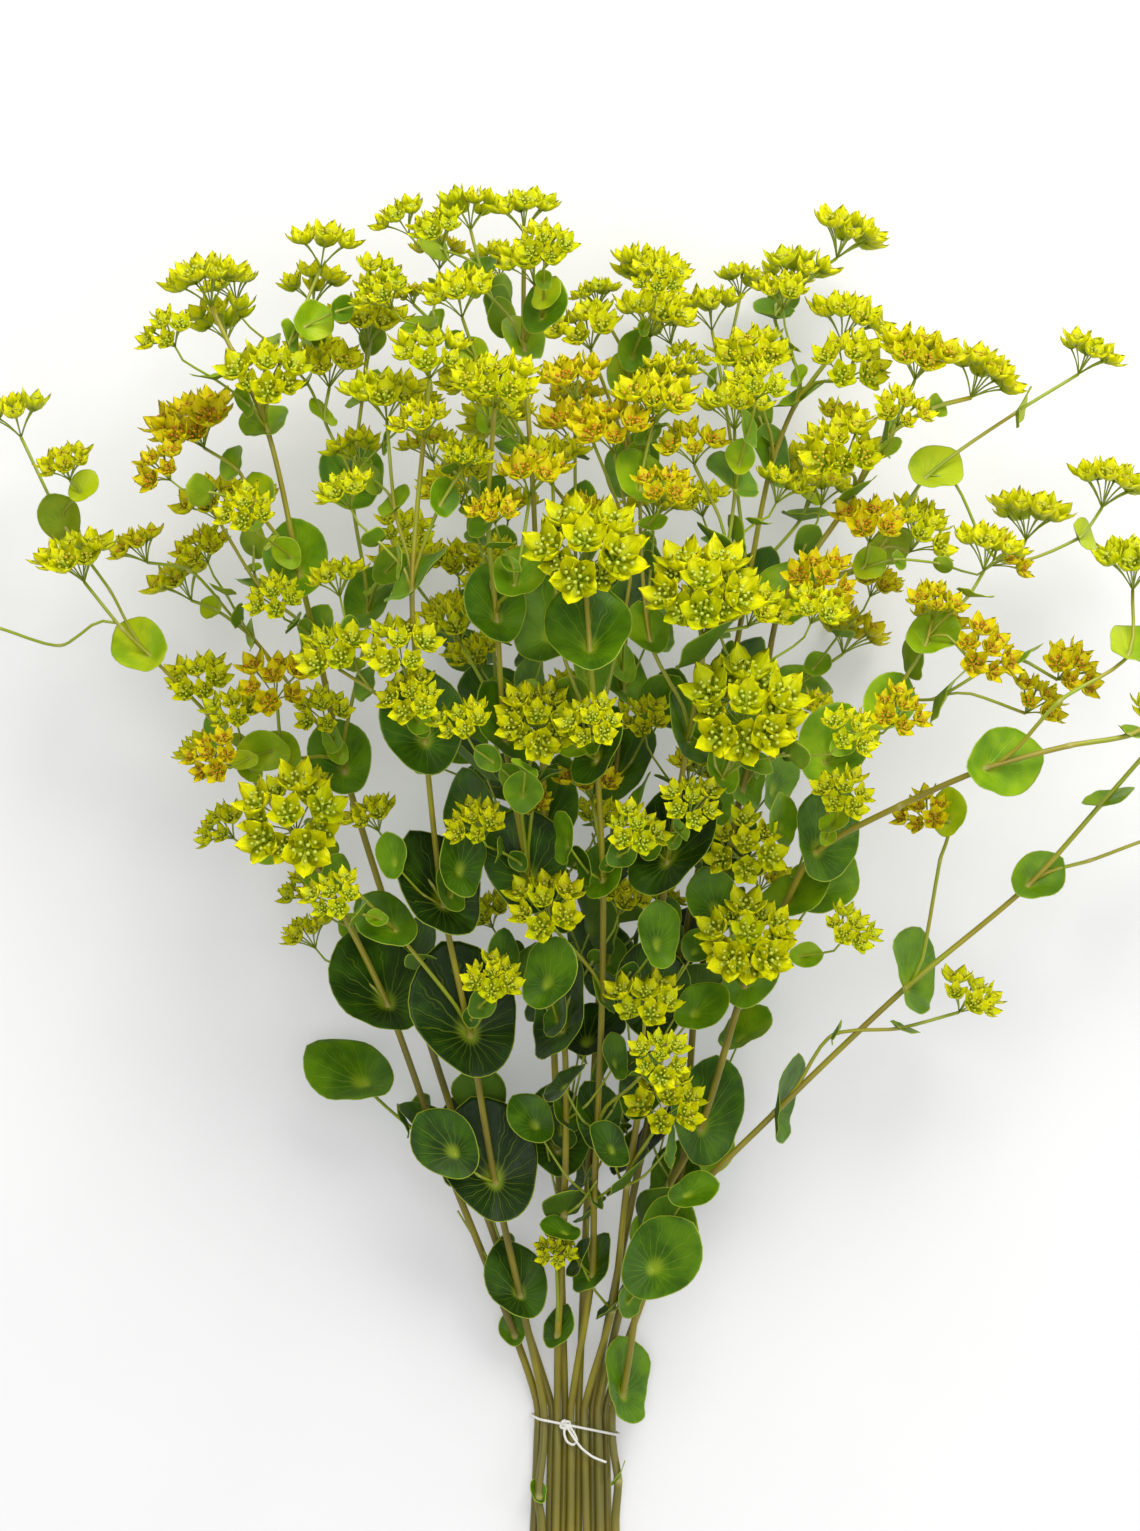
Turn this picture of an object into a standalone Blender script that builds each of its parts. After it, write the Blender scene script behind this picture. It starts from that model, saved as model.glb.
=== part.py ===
"""A bunch of bupleurum: twelve leafy, flowering stems tied with one turn of string.

The bunch lies on a table at z = 0 with its tips towards +Y. The origin is on the table, on the flat
underside of a stem 60 mm below the string. Units are metres; tables of places are as named below.
"""

import math

import bmesh
import bpy
import numpy as np

# Driving dimensions
MM = 0.001
BUNCH_NAME = "bupleurum_bunch"
STEM_BELOW_TIE = 0.110
TIE_Y = 0.060
TIE_HALF = 0.009
STEM_RADIUS = 0.0022
STEM_TIP_RADIUS = 0.0010
THINNEST_STEM = 0.84
END_SPREAD = 1.25
END_SHIFT = 0.0011
BRANCH_RADIUS = 0.00095
BRANCH_TIP_RADIUS = 0.00075
BLADE_THICKNESS = 0.0007
RAY_LENGTH = 0.0155
RAY_RADIUS = 0.0006
CUP_RADIUS = 0.0080
CUP_DEPTH = 0.0078
BRACTS = 4
STRING_RADIUS = 0.00065
GAP = 0.0003
STEM_SPACING = 0.0063
MIDDLE_COLUMN = 3
LAST_COLUMN = 5
BUNDLE_MIDDLE = -0.28 * STEM_SPACING
STRING_SLANT = 0.2
TURN_POINTS = 14
KNOT_X = -0.0062
STEM_SIDES = 5
BRANCH_SIDES = 3
AXIL_RISE = 0.003
REST_SPIN = 0.4
LEAF_CORNERS = (0, 40, 90, 148, 212, 270, 320)
SMALL_LEAF_CORNERS = (0, 50, 115, 180, 245, 310)
SMALL_LEAF = 0.0305

# Where a picture of the bunch, taken from above, shows each point: a pixel is PIXEL wide at the
# level PIXEL_LEVEL, and the picture's middle lies under the eye
PIXEL = 0.00043
PIXEL_LEVEL = 0.100
EYE_LEVEL = 1.720
PICTURE_MIDDLE = (570, 765)
TIE_PIXEL = (575, 1425)
TIE_LEVEL = 0.009

# Each stem: its place in the bundle (column, layer), then its paths. A path is its start (path,
# node), its nodes and its head. A node is pixel x, pixel y, height in mm, leaf length in mm and
# the leaf's turn in degrees: 0 shows its upper side, 90 leans right, -90 left, 180 shows its back.
# A head is pixel x, pixel y, height in mm, size, how far it faces up from the table, and ripeness.
STEMS = {
    "leafy_stem_01": ((0, 0), [
        (None, [(515, 1335, 10, 30, -60), (437, 1140, 32, 34, -70), (388, 1005, 48, 52, -20),
                (322, 875, 55, 26, 30), (262, 790, 62, 0, 0), (222, 735, 70, 26, 60)],
         (198, 674, 80, 1.0, 0.45, 0.2)),
        ((0, 4), [], (205, 745, 40, 0.8, 0.2, 0.1)),
        ((0, 5), [(150, 655, 88, 30, -10), (122, 628, 92, 0, 0)], (75, 555, 95, 1.0, 0.2, 0.3)),
        ((2, 0), [(110, 590, 76, 0, 0), (66, 528, 72, 24, 170)], (15, 412, 66, 0.9, 0.1, 0.2)),
        ((3, 1), [(80, 492, 84, 16, 20)], (65, 462, 92, 0.7, 0.2, 0.5)),
        ((2, 1), [(60, 645, 80, 0, 0), (0, 628, 74, 0, 0)], (-52, 600, 70, 0.9, 0.2, 0.3)),
    ]),
    "leafy_stem_02": ((0, 1), [
        (None, [(538, 1496, 9, 22, -60), (520, 1295, 24, 58, -25), (495, 1182, 48, 56, -15),
                (470, 1035, 88, 60, -20), (443, 905, 114, 50, -40), (425, 742, 150, 46, -10),
                (412, 592, 182, 34, 70)],
         (430, 352, 178, 0.95, 0.4, 0.2)),
        ((0, 3), [(395, 930, 112, 30, -30), (345, 880, 124, 20, 150)],
         (290, 818, 138, 1.3, 0.85, 0.0)),
        ((0, 5), [(372, 690, 156, 20, 60)], (330, 650, 160, 0.9, 0.5, 0.1)),
        ((0, 5), [], (400, 648, 184, 0.9, 0.5, 0.1)),
        ((0, 6), [(395, 510, 170, 20, 30)], (385, 392, 160, 1.0, 0.3, 0.2)),
        ((0, 6), [(440, 505, 192, 18, -30)], (468, 442, 200, 1.0, 0.35, 0.0)),
    ]),
    "leafy_stem_03": ((1, 0), [
        (None, [(468, 1160, 12, 42, 60), (410, 980, 24, 44, 60), (345, 772, 60, 36, -5),
                (318, 650, 84, 30, 60), (300, 575, 108, 36, 5), (268, 432, 122, 28, -40)],
         (205, 278, 118, 1.0, 0.1, 0.1)),
        ((0, 4), [(262, 515, 122, 28, -60), (238, 470, 120, 20, 90)],
         (192, 420, 116, 1.1, 0.4, 1.0)),
        ((0, 5), [], (265, 372, 146, 1.0, 0.3, 0.1)),
        ((0, 5), [(240, 360, 104, 14, -30)], (222, 316, 92, 0.9, 0.1, 0.3)),
        ((0, 5), [(288, 345, 122, 18, -60)], (325, 242, 112, 0.9, 0.1, 0.2)),
        ((4, 0), [(315, 335, 100, 18, 20)], (313, 282, 84, 0.85, 0.1, 0.1)),
        ((0, 2), [(255, 640, 48, 16, 60), (217, 610, 44, 15, 0)], (180, 578, 42, 0.9, 0.2, 0.5)),
        ((6, 0), [(190, 570, 66, 0, 0)], (135, 545, 62, 0.75, 0.2, 0.6)),
        ((0, 2), [(287, 755, 80, 20, 0)], (274, 682, 112, 0.95, 0.5, 1.0)),
        ((0, 2), [(368, 612, 74, 34, 40), (352, 492, 90, 36, -10), (362, 400, 92, 22, 60)],
         (368, 318, 92, 1.0, 0.2, 0.2)),
        ((9, 1), [(325, 420, 96, 16, -60)], (330, 362, 100, 0.9, 0.2, 0.4)),
        ((0, 3), [(262, 590, 70, 20, -60)], (212, 497, 78, 0.9, 0.2, 0.5)),
    ]),
    "leafy_stem_04": ((1, 1), [
        (None, [(558, 1335, 21, 24, -20), (564, 1215, 40, 34, 30), (566, 1120, 64, 36, -50),
                (563, 1030, 84, 46, 0),
                (530, 880, 114, 46, 20), (505, 740, 142, 38, -60), (497, 620, 166, 34, -20),
                (488, 520, 180, 28, 60)],
         (495, 380, 206, 1.0, 0.3, 0.3)),
        ((0, 0), [], (556, 1250, 46, 0.55, 0.7, 0.3)),
        ((0, 4), [(522, 800, 146, 16, 60)], (537, 716, 176, 1.25, 0.75, 0.1)),
        ((0, 4), [], (533, 792, 142, 0.8, 0.4, 0.8)),
        ((0, 6), [(514, 585, 186, 28, 10)], (532, 470, 186, 0.9, 0.3, 0.8)),
        ((0, 5), [], (455, 620, 140, 0.8, 0.3, 0.2)),
    ]),
    "leafy_stem_05": ((2, 0), [
        (None, [(558, 1150, 30, 42, -30), (552, 1000, 52, 40, 60), (548, 915, 66, 34, -60),
                (545, 830, 80, 42, 30), (542, 740, 92, 34, -50),
                (540, 650, 104, 36, 60), (532, 470, 116, 28, 60), (524, 350, 118, 26, -30)],
         (524, 208, 120, 0.85, 0.05, 0.1)),
        ((0, 7), [(505, 325, 108, 18, -80), (483, 275, 104, 20, 0)],
         (468, 206, 92, 0.85, 0.05, 0.0)),
        ((0, 7), [(542, 318, 126, 26, 30)], (532, 258, 134, 0.95, 0.2, 0.1)),
        ((0, 6), [(478, 360, 138, 16, 0)], (458, 290, 146, 0.95, 0.2, 0.1)),
        ((0, 6), [(440, 330, 92, 18, 30)], (408, 288, 84, 0.6, 0.1, 0.7)),
        ((0, 3), [(502, 720, 84, 42, -30), (490, 600, 86, 34, 50), (482, 530, 88, 24, 60)],
         (455, 480, 96, 0.9, 0.2, 0.5)),
        ((0, 5), [(572, 620, 88, 30, -60), (575, 520, 90, 26, 40)],
         (575, 420, 100, 1.0, 0.2, 0.9)),
    ]),
    "leafy_stem_06": ((2, 1), [
        (None, [(592, 1275, 30, 34, 20), (594, 1200, 44, 30, -60), (597, 1130, 60, 44, 50),
                (602, 1000, 92, 42, 10),
                (603, 880, 126, 42, -20), (597, 760, 158, 36, 60), (590, 650, 188, 46, 0)],
         (585, 548, 206, 1.3, 0.7, 0.0)),
        ((0, 3), [], (545, 906, 136, 0.95, 0.45, 0.3)),
        ((0, 2), [(640, 1075, 92, 18, 0)], (645, 1000, 116, 0.9, 0.4, 0.1)),
        ((0, 4), [], (590, 778, 132, 0.8, 0.3, 1.2)),
        ((0, 5), [(560, 640, 170, 18, -60)], (552, 455, 150, 0.9, 0.3, 0.3)),
        ((0, 5), [(632, 560, 168, 26, 60)], (612, 425, 176, 1.0, 0.3, 0.9)),
        ((5, 0), [], (572, 375, 160, 0.9, 0.2, 0.9)),
    ]),
    "leafy_stem_07": ((3, 1), [
        (None, [(612, 1310, 26, 28, 60), (627, 1185, 50, 48, 15), (640, 1100, 70, 36, 60),
                (650, 1010, 88, 44, 20),
                (668, 862, 124, 52, -15), (688, 740, 158, 34, -60), (702, 660, 178, 34, 60)],
         (702, 588, 198, 1.25, 0.6, 0.0)),
        ((0, 1), [], (668, 1102, 90, 0.95, 0.5, 0.3)),
        ((0, 4), [(722, 778, 164, 22, 40)], (745, 708, 190, 1.35, 0.75, 0.0)),
        ((0, 5), [(650, 640, 170, 24, -20), (640, 490, 172, 32, 0)], (655, 395, 172, 1.0, 0.3, 0.5)),
        ((0, 6), [(725, 560, 162, 28, -60), (735, 490, 166, 30, 30)],
         (735, 400, 160, 1.0, 0.25, 0.2)),
        ((4, 0), [], (690, 440, 172, 0.9, 0.3, 0.7)),
        ((0, 6), [], (760, 605, 176, 0.9, 0.4, 0.3)),
    ]),
    "leafy_stem_08": ((5, 1), [
        (None, [(618, 1480, 10, 26, 60), (622, 1395, 16, 62, 40), (655, 1243, 36, 50, 75),
                (775, 1112, 54, 40, -75), (905, 988, 68, 42, -80), (1028, 885, 80, 28, 20),
                (1100, 805, 86, 24, 70)],
         (1168, 715, 90, 0.9, 0.2, 0.2)),
        ((0, 3), [(832, 1035, 62, 12, -90), (898, 1028, 66, 14, 80)],
         (972, 995, 70, 0.85, 0.3, 0.3)),
        ((0, 4), [(940, 860, 84, 0, 0), (950, 822, 90, 22, 10)], (922, 812, 98, 0.7, 0.3, 1.0)),
        ((0, 5), [(1090, 860, 70, 0, 0), (1150, 838, 62, 16, 0)], (1188, 815, 58, 0.8, 0.2, 0.2)),
    ]),
    "leafy_stem_09": ((4, 1), [
        (None, [(640, 1240, 15, 36, 60), (700, 1128, 38, 56, 30), (745, 985, 82, 32, 0),
                (785, 905, 100, 34, 60), (815, 852, 114, 44, 10), (900, 805, 132, 0, 0),
                (985, 768, 150, 38, 5), (1070, 745, 152, 0, 0), (1128, 735, 150, 18, 60)],
         (1180, 690, 148, 0.9, 0.3, 0.2)),
        ((0, 2), [], (748, 938, 128, 1.15, 0.6, 0.1)),
        ((0, 4), [(825, 762, 134, 38, 0), (880, 712, 142, 28, 0), (925, 645, 150, 28, 30)],
         (935, 600, 152, 0.7, 0.3, 0.8)),
        ((2, 2), [(968, 596, 146, 18, 60)], (990, 545, 142, 0.9, 0.2, 0.2)),
        ((2, 2), [], (985, 652, 164, 0.85, 0.4, 1.0)),
        ((0, 6), [(1060, 700, 166, 0, 0), (1128, 655, 160, 30, -80)],
         (1135, 560, 152, 1.0, 0.2, 0.1)),
        ((2, 1), [(935, 698, 130, 32, -70), (1012, 658, 126, 28, -70)],
         (1072, 668, 132, 0.8, 0.4, 1.0)),
        ((6, 0), [], (1040, 700, 118, 0.75, 0.4, 0.8)),
    ]),
    "leafy_stem_10": ((5, 0), [
        (None, [(678, 1190, 9, 38, 70), (696, 1000, 46, 42, -60), (725, 870, 84, 36, 60),
                (742, 790, 98, 30, -50),
                (760, 725, 108, 34, 40), (780, 608, 122, 34, 10), (850, 500, 124, 22, 60),
                (882, 440, 120, 24, -70), (932, 408, 114, 14, 0)],
         (985, 372, 106, 1.0, 0.1, 0.5)),
        ((0, 2), [], (745, 846, 122, 0.95, 0.6, 0.2)),
        ((0, 5), [], (822, 582, 150, 0.9, 0.4, 1.0)),
        ((0, 5), [(862, 568, 124, 18, 0)], (872, 520, 136, 0.9, 0.3, 1.0)),
        ((0, 5), [(870, 560, 100, 0, 0), (925, 478, 98, 30, 20), (1016, 412, 92, 20, -70)],
         (1090, 352, 88, 0.85, 0.15, 0.2)),
        ((0, 7), [], (920, 352, 128, 1.0, 0.2, 0.6)),
        ((0, 6), [], (840, 448, 146, 1.0, 0.3, 0.4)),
        ((4, 0), [], (925, 532, 104, 0.9, 0.2, 0.2)),
        ((4, 1), [(1000, 560, 80, 0, 0), (1078, 538, 76, 20, 0)], (1110, 480, 70, 1.0, 0.15, 0.3)),
        ((8, 0), [], (1030, 512, 60, 1.0, 0.2, 0.3)),
    ]),
    "leafy_stem_11": ((4, 0), [
        (None, [(640, 1160, 14, 46, 60), (680, 960, 26, 50, 60), (700, 860, 34, 40, -50),
                (715, 760, 44, 44, -40), (730, 680, 52, 34, 50),
                (745, 600, 62, 38, 40), (770, 470, 74, 30, -50), (795, 405, 80, 28, 80)],
         (850, 315, 88, 1.0, 0.1, 0.3)),
        ((0, 7), [(775, 318, 62, 24, -10)], (800, 268, 56, 0.95, 0.1, 0.3)),
        ((1, 0), [], (848, 232, 48, 1.0, 0.1, 0.2)),
        ((0, 6), [], (748, 352, 106, 1.0, 0.15, 0.4)),
        ((0, 5), [(725, 400, 48, 18, 30)], (710, 305, 44, 0.9, 0.1, 0.3)),
        ((4, 0), [], (742, 278, 30, 0.7, 0.1, 0.3)),
        ((0, 7), [], (852, 362, 112, 0.95, 0.2, 0.3)),
        ((0, 5), [(800, 520, 40, 28, 40)], (810, 470, 0, 1.0, 0.1, 0.6)),
        ((0, 3), [(790, 690, 26, 34, 40)], (850, 630, 0, 1.0, 0.1, 0.8)),
    ]),
    "leafy_stem_12": ((3, 0), [
        (None, [(588, 1180, 12, 44, 60), (600, 980, 20, 48, -40), (610, 880, 26, 38, 50),
                (616, 780, 32, 46, 30), (622, 690, 38, 38, -50),
                (627, 600, 46, 42, 30), (632, 480, 60, 34, 30), (626, 385, 70, 24, 10)],
         (655, 310, 80, 1.0, 0.15, 0.1)),
        ((0, 7), [], (592, 280, 66, 1.0, 0.1, 0.1)),
        ((0, 7), [], (650, 268, 44, 1.0, 0.1, 0.1)),
        ((0, 6), [], (587, 325, 96, 0.95, 0.2, 0.3)),
        ((0, 6), [], (690, 345, 84, 0.95, 0.15, 0.2)),
        ((0, 5), [(540, 470, 42, 28, -30)], (500, 420, 0, 1.0, 0.1, 0.5)),
        ((0, 3), [(520, 790, 24, 44, -40), (470, 660, 22, 40, -60)],
         (410, 560, 0, 1.0, 0.1, 0.4)),
    ]),
}


def unit(vector):
    """The vector at a length of one."""
    return vector / np.linalg.norm(vector)


def place(pixel_x, pixel_y, height):
    """The point at a height in mm that the picture shows at a pixel."""
    z = height * MM
    reach = PIXEL * (EYE_LEVEL - z) / (EYE_LEVEL - PIXEL_LEVEL)
    low = PIXEL * (EYE_LEVEL - TIE_LEVEL) / (EYE_LEVEL - PIXEL_LEVEL)
    x = (PICTURE_MIDDLE[0] - TIE_PIXEL[0]) * low + (pixel_x - PICTURE_MIDDLE[0]) * reach
    y = (TIE_PIXEL[1] - PICTURE_MIDDLE[1]) * low - (pixel_y - PICTURE_MIDDLE[1]) * reach
    return np.array((x + BUNDLE_MIDDLE, y + TIE_Y, z))


def tangents(curve):
    """The direction of a curve at each of its points."""
    steps = np.gradient(curve, axis=0)
    return steps / np.linalg.norm(steps, axis=1)[:, None]


def bundle_points(column, layer, radius, rng):
    """A stem in the bundle: its cut end, flat on the table, and the two sides of the string."""
    x = (column - MIDDLE_COLUMN + 0.45 * layer) * STEM_SPACING
    lift = radius * math.cos(math.pi / STEM_SIDES) + layer * (2 * STEM_RADIUS + GAP)
    tied = lift + 2 * STRING_RADIUS + 2 * GAP
    end = TIE_Y - STEM_BELOW_TIE + 0.012 * rng.random()
    aside = END_SPREAD * x + END_SHIFT * (2 * rng.random() - 1)
    below = [np.array((aside, end, lift)), np.array((0.3 * aside + 0.7 * x, TIE_Y - 0.045, lift))]
    above = [np.array((x, TIE_Y - TIE_HALF, tied)), np.array((x, TIE_Y + TIE_HALF, tied))]
    return below, above


def head_axis(centre, start, face_up):
    """The way a head opens: along its branch, leaning to the top of the picture and upwards."""
    along = unit(centre - start)
    return unit((1 - face_up) * (0.6 * along + 0.5 * np.array((0, 1, 0.12)))
                + face_up * np.array((0.1 * along[0], 0.25, 1.0)))


def build_paths(routes, column, layer, rng):
    """The curves of one stem, from its cut end and from each fork to the foot of each head."""
    paths = []
    for start, nodes, head in routes:
        centre = place(*head[:3])
        points = [place(*node[:3]) for node in nodes]
        if start is None:
            low = sum(node[1] > TIE_PIXEL[1] for node in nodes)
            radius = STEM_RADIUS * (1 - (1 - THINNEST_STEM) * rng.random())
            below, above = bundle_points(column, layer, radius, rng)
            points = below + points[:low] + above + points[low:]
            radii = (radius, STEM_TIP_RADIUS)
            sides = STEM_SIDES
            node_at = [2 + i if i < low else 4 + i for i in range(len(nodes))]
        else:
            parent = paths[start[0]]
            k = parent["node_at"][start[1]]
            root = parent["curve"][k] + AXIL_RISE * unit(parent["curve"][k + 1] - parent["curve"][k])
            aim = (points[0] if points else centre) - root
            way = unit(0.55 * parent["ways"][k] + unit(aim))
            points = [root, root + way * min(0.012, 0.3 * np.linalg.norm(aim))] + points
            radii = (min(BRANCH_RADIUS, 0.8 * parent["radii"][k]), BRANCH_TIP_RADIUS)
            sides = BRANCH_SIDES
            node_at = [2 + i for i in range(len(nodes))]
        axis = head_axis(centre, points[-1], head[4])
        if head[2] == 0:
            tips = head_points((np.zeros(3), axis, head[3], REST_SPIN, cup_count(head[3])))
            centre[2] = -tips[:, 2].min() + 0.8 * RAY_LENGTH * head[3] * axis[2]
        foot = centre - 0.8 * RAY_LENGTH * head[3] * axis
        if head[4] > 0.5:
            points.append(foot - 0.4 * RAY_LENGTH * head[3] * axis)
        curve = np.array(points + [foot])
        paths.append({
            "start": start, "curve": curve, "ways": tangents(curve), "sides": sides,
            "radii": np.linspace(radii[0], radii[1], len(curve)),
            "node_at": node_at, "leaves": [node[3:] for node in nodes],
            "axis": axis, "head": head,
        })
    return paths


def blade_reach(angle):
    """How far a leaf's edge lies from the stem, as a share of its length: a point at 0 degrees."""
    near_tip = np.exp(-((np.abs((angle + np.pi) % (2 * np.pi) - np.pi)) / 0.22) ** 2)
    return 0.415 + 0.15 * np.cos(angle) + 0.07 * np.cos(2 * angle) + 0.05 * near_tip


def blade_points(leaf, angles, share):
    """Points on a leaf's upper side, at angles round the stem and a share of the way to its edge."""
    reach = leaf["length"] * blade_reach(angles) * share
    rise = leaf["cup"] * reach * (1 + 0.22 * np.sin(3 * angles + leaf["wave"]))
    return (leaf["at"] + np.outer(reach * np.cos(angles), leaf["along"])
            + np.outer(reach * np.sin(angles), leaf["side"]) + np.outer(rise, leaf["up"]))


def make_leaf(at, way, length, turn, tilt, wave):
    """A leaf pierced by a stem at a point: turned about the stem and tilted away from it."""
    level = unit(np.array((0, 0, 1.0)) - way[2] * way)
    lean = -math.cos(turn) * level + math.sin(turn) * np.cross(way, level)
    along = math.cos(tilt) * way + math.sin(tilt) * lean
    up = math.sin(tilt) * way - math.cos(tilt) * lean
    return {"at": at, "along": along, "up": up, "side": np.cross(up, along), "length": length,
            "cup": 0.36, "wave": wave, "way": way}


def leaf_rim(leaf):
    """The lower rim of a leaf's blade."""
    corners = SMALL_LEAF_CORNERS if leaf["length"] < SMALL_LEAF else LEAF_CORNERS
    return blade_points(leaf, np.radians(corners), 1.0) - BLADE_THICKNESS * leaf["up"]


def clears_stem(leaf, tube, head):
    """Whether a leaf's blade stays off the stem that pierces it, past its root, and off its head."""
    arms = tube[:, :3] - leaf["at"]
    across = np.hypot(arms @ leaf["along"], arms @ leaf["side"])
    angle = np.arctan2(arms @ leaf["side"], arms @ leaf["along"])
    rise = leaf["cup"] * across * (1 + 0.22 * np.sin(3 * angle + leaf["wave"]))
    over = np.sign(arms @ leaf["way"]) * (arms @ leaf["up"] - rise) - 0.9 * tube[:, 3]
    near = (np.linalg.norm(arms, axis=1) > 4.5 * tube[:, 3]) \
        & (across < 1.05 * leaf["length"] * blade_reach(angle))
    balls = leaf_balls(leaf)
    gaps = np.linalg.norm(balls[:, None, :3] - head[None, :, :3], axis=2) - 0.9 * head[:, 3]
    return over[near].min(initial=1.0) > 0 and gaps.min() > 0


def leaf_balls(leaf):
    """Balls that cover a leaf's blade, for finding what it would cross."""
    angles = np.radians(np.arange(0, 360, 24))
    rings = [blade_points(leaf, angles[::2], 0.35), blade_points(leaf, angles, 0.68),
             blade_points(leaf, angles, 0.98)]
    radius = 0.075 * leaf["length"] + 0.0008
    points = np.vstack(rings)
    return np.column_stack((points, np.full(len(points), radius)))


def cup_count(size):
    """How many cups of bracts a head of a size has."""
    return 3 if size < 0.97 else 4 if size < 1.1 else 5


def cups_of(foot, axis, size, spin, count):
    """The foot, the axis and the outward direction of each bract cup of a head."""
    side = unit(np.cross(axis, (0.3, 0.1, 1.0)))
    over = np.cross(axis, side)
    cups = []
    for i in range(count):
        angle = spin + 2 * math.pi * i / count
        out = math.cos(angle) * side + math.sin(angle) * over
        lean = math.radians(46 if i % 2 else 40)
        ray = math.cos(lean) * axis + math.sin(lean) * out
        length = RAY_LENGTH * size * (1.0 if i % 2 else 1.06)
        cups.append((foot + length * ray, unit(ray + 0.5 * axis), out))
    return cups


def star_points(base, way, out, size):
    """The rim of a cup: bract tips with lower notches between them."""
    out = unit(out - (out @ way) * way)
    side = np.cross(way, out)
    points = []
    for k in range(2 * BRACTS):
        angle = math.pi * (k + 0.5) / BRACTS
        wide = size * CUP_RADIUS * (0.6 if k % 2 else 1.0)
        high = size * CUP_DEPTH * (0.5 if k % 2 else 1.0)
        points.append(base + high * way + wide * (math.cos(angle) * out + math.sin(angle) * side))
    return points


def head_points(umbel):
    """All rim points of a head's cups."""
    return np.vstack([star_points(*cup, umbel[2]) for cup in cups_of(*umbel)])


def head_balls(umbel):
    """Balls that cover a head's cups and rays."""
    foot, size = umbel[0], umbel[2]
    rows = []
    for base, way, _ in cups_of(*umbel):
        rows.append((*(base + 0.55 * CUP_DEPTH * size * way), 1.13 * CUP_RADIUS * size))
        rows.append((*(0.5 * (foot + base)), 2.5 * RAY_RADIUS))
    return np.array(rows)


def settle(candidates, balls_of, points_of, others, at, reach, suits=None):
    """The first candidate clear of the others and of the table, or else the clearest one."""
    near = others[np.linalg.norm(others[:, :3] - at, axis=1) - others[:, 3] < reach]
    best, most = None, -1.0
    for candidate in candidates:
        if suits is not None and not suits(candidate):
            continue
        balls = balls_of(candidate)
        gaps = np.linalg.norm(balls[:, None, :3] - near[None, :, :3], axis=2)
        gap = float((gaps - balls[:, None, 3] - near[None, :, 3]).min(initial=1.0))
        floor = float(points_of(candidate)[:, 2].min()) - GAP
        gap = min(gap, 2 * floor if floor < 0 else gap)
        if gap > most:
            best, most = candidate, gap
        if gap > GAP:
            break
    return best, most


def tube_balls(path):
    """Balls along a path, close enough together to stand for its tube."""
    rows = []
    for a, b, r, s in zip(path["curve"], path["curve"][1:], path["radii"], path["radii"][1:]):
        for share in np.arange(0, 1, 0.003 / np.linalg.norm(b - a)):
            rows.append((*(a + share * (b - a)), r + share * (s - r) + GAP))
    return np.array(rows)


def settle_heads(stems, tubes, placed, rng):
    """Turns each head, or makes it smaller, until its cups are clear of what lies near it."""
    for name, paths in stems.items():
        for p, path in enumerate(paths):
            others = np.vstack([t for key, t in tubes.items() if key != (name, p)] + placed)
            foot, axis, size = path["curve"][-1], path["axis"], path["head"][3]
            count = cup_count(size)
            first_spin = 6.28 * rng.random()
            candidates = [(foot, axis, size * scale, first_spin + 0.35 * turn, count)
                          for scale in (1.0, 0.92, 0.84, 0.76, 0.68, 0.6) for turn in range(5)]
            if path["head"][2] == 0:
                candidates = [(foot, axis, size, REST_SPIN, count)]
            path["umbel"], _ = settle(candidates, head_balls, head_points, others, foot, 0.05)
            placed.append(head_balls(path["umbel"]))


def settle_leaves(stems, tubes, placed, rng):
    """Turns, tilts or shortens each leaf until its blade is clear of what lies near it, the
    longest leaves first."""
    wanted = sorted(((*leaf, name, p, k) for name, paths in stems.items()
                     for p, path in enumerate(paths) for k, leaf in enumerate(path["leaves"])),
                    reverse=True)
    for length, turn, name, p, k in wanted:
        path = stems[name][p]
        path["leaves"][k] = None
        if length == 0:
            continue
        wave = 6.28 * rng.random()
        at = path["node_at"][k]
        own = {(name, p)} | {(name, q) for q, other in enumerate(stems[name])
                             if other["start"] == (p, k)}
        others = np.vstack([t for key, t in tubes.items() if key not in own] + placed)
        candidates = [
            make_leaf(path["curve"][at], path["ways"][at], length * MM * scale,
                      math.radians(turn + swing), math.radians(tilt), wave)
            for scale in (1.0, 0.88, 0.76, 0.64, 0.54)
            for swing in (0, 20, -20, 40, -40, 65, -65, 95, -95, 130, -130, 180)
            for tilt in (40, 34, 52, 64)]
        own_tube, own_head = tubes[(name, p)], head_balls(path["umbel"])
        leaf, gap = settle(candidates, leaf_balls, leaf_rim, others, path["curve"][at],
                           length * MM, lambda leaf: clears_stem(leaf, own_tube, own_head))
        if gap > -0.003:
            path["leaves"][k] = leaf
            placed.append(leaf_balls(leaf))


def arrange():
    """Every stem with its leaves and heads turned, tilted or made smaller until they are clear."""
    rng = np.random.default_rng(11)
    stems = {name: build_paths(routes, *slot, rng) for name, (slot, routes) in STEMS.items()}
    tubes = {(name, p): tube_balls(path)
             for name, paths in stems.items() for p, path in enumerate(paths)}
    placed = []
    settle_heads(stems, tubes, placed, rng)
    settle_leaves(stems, tubes, placed, rng)
    return stems


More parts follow.
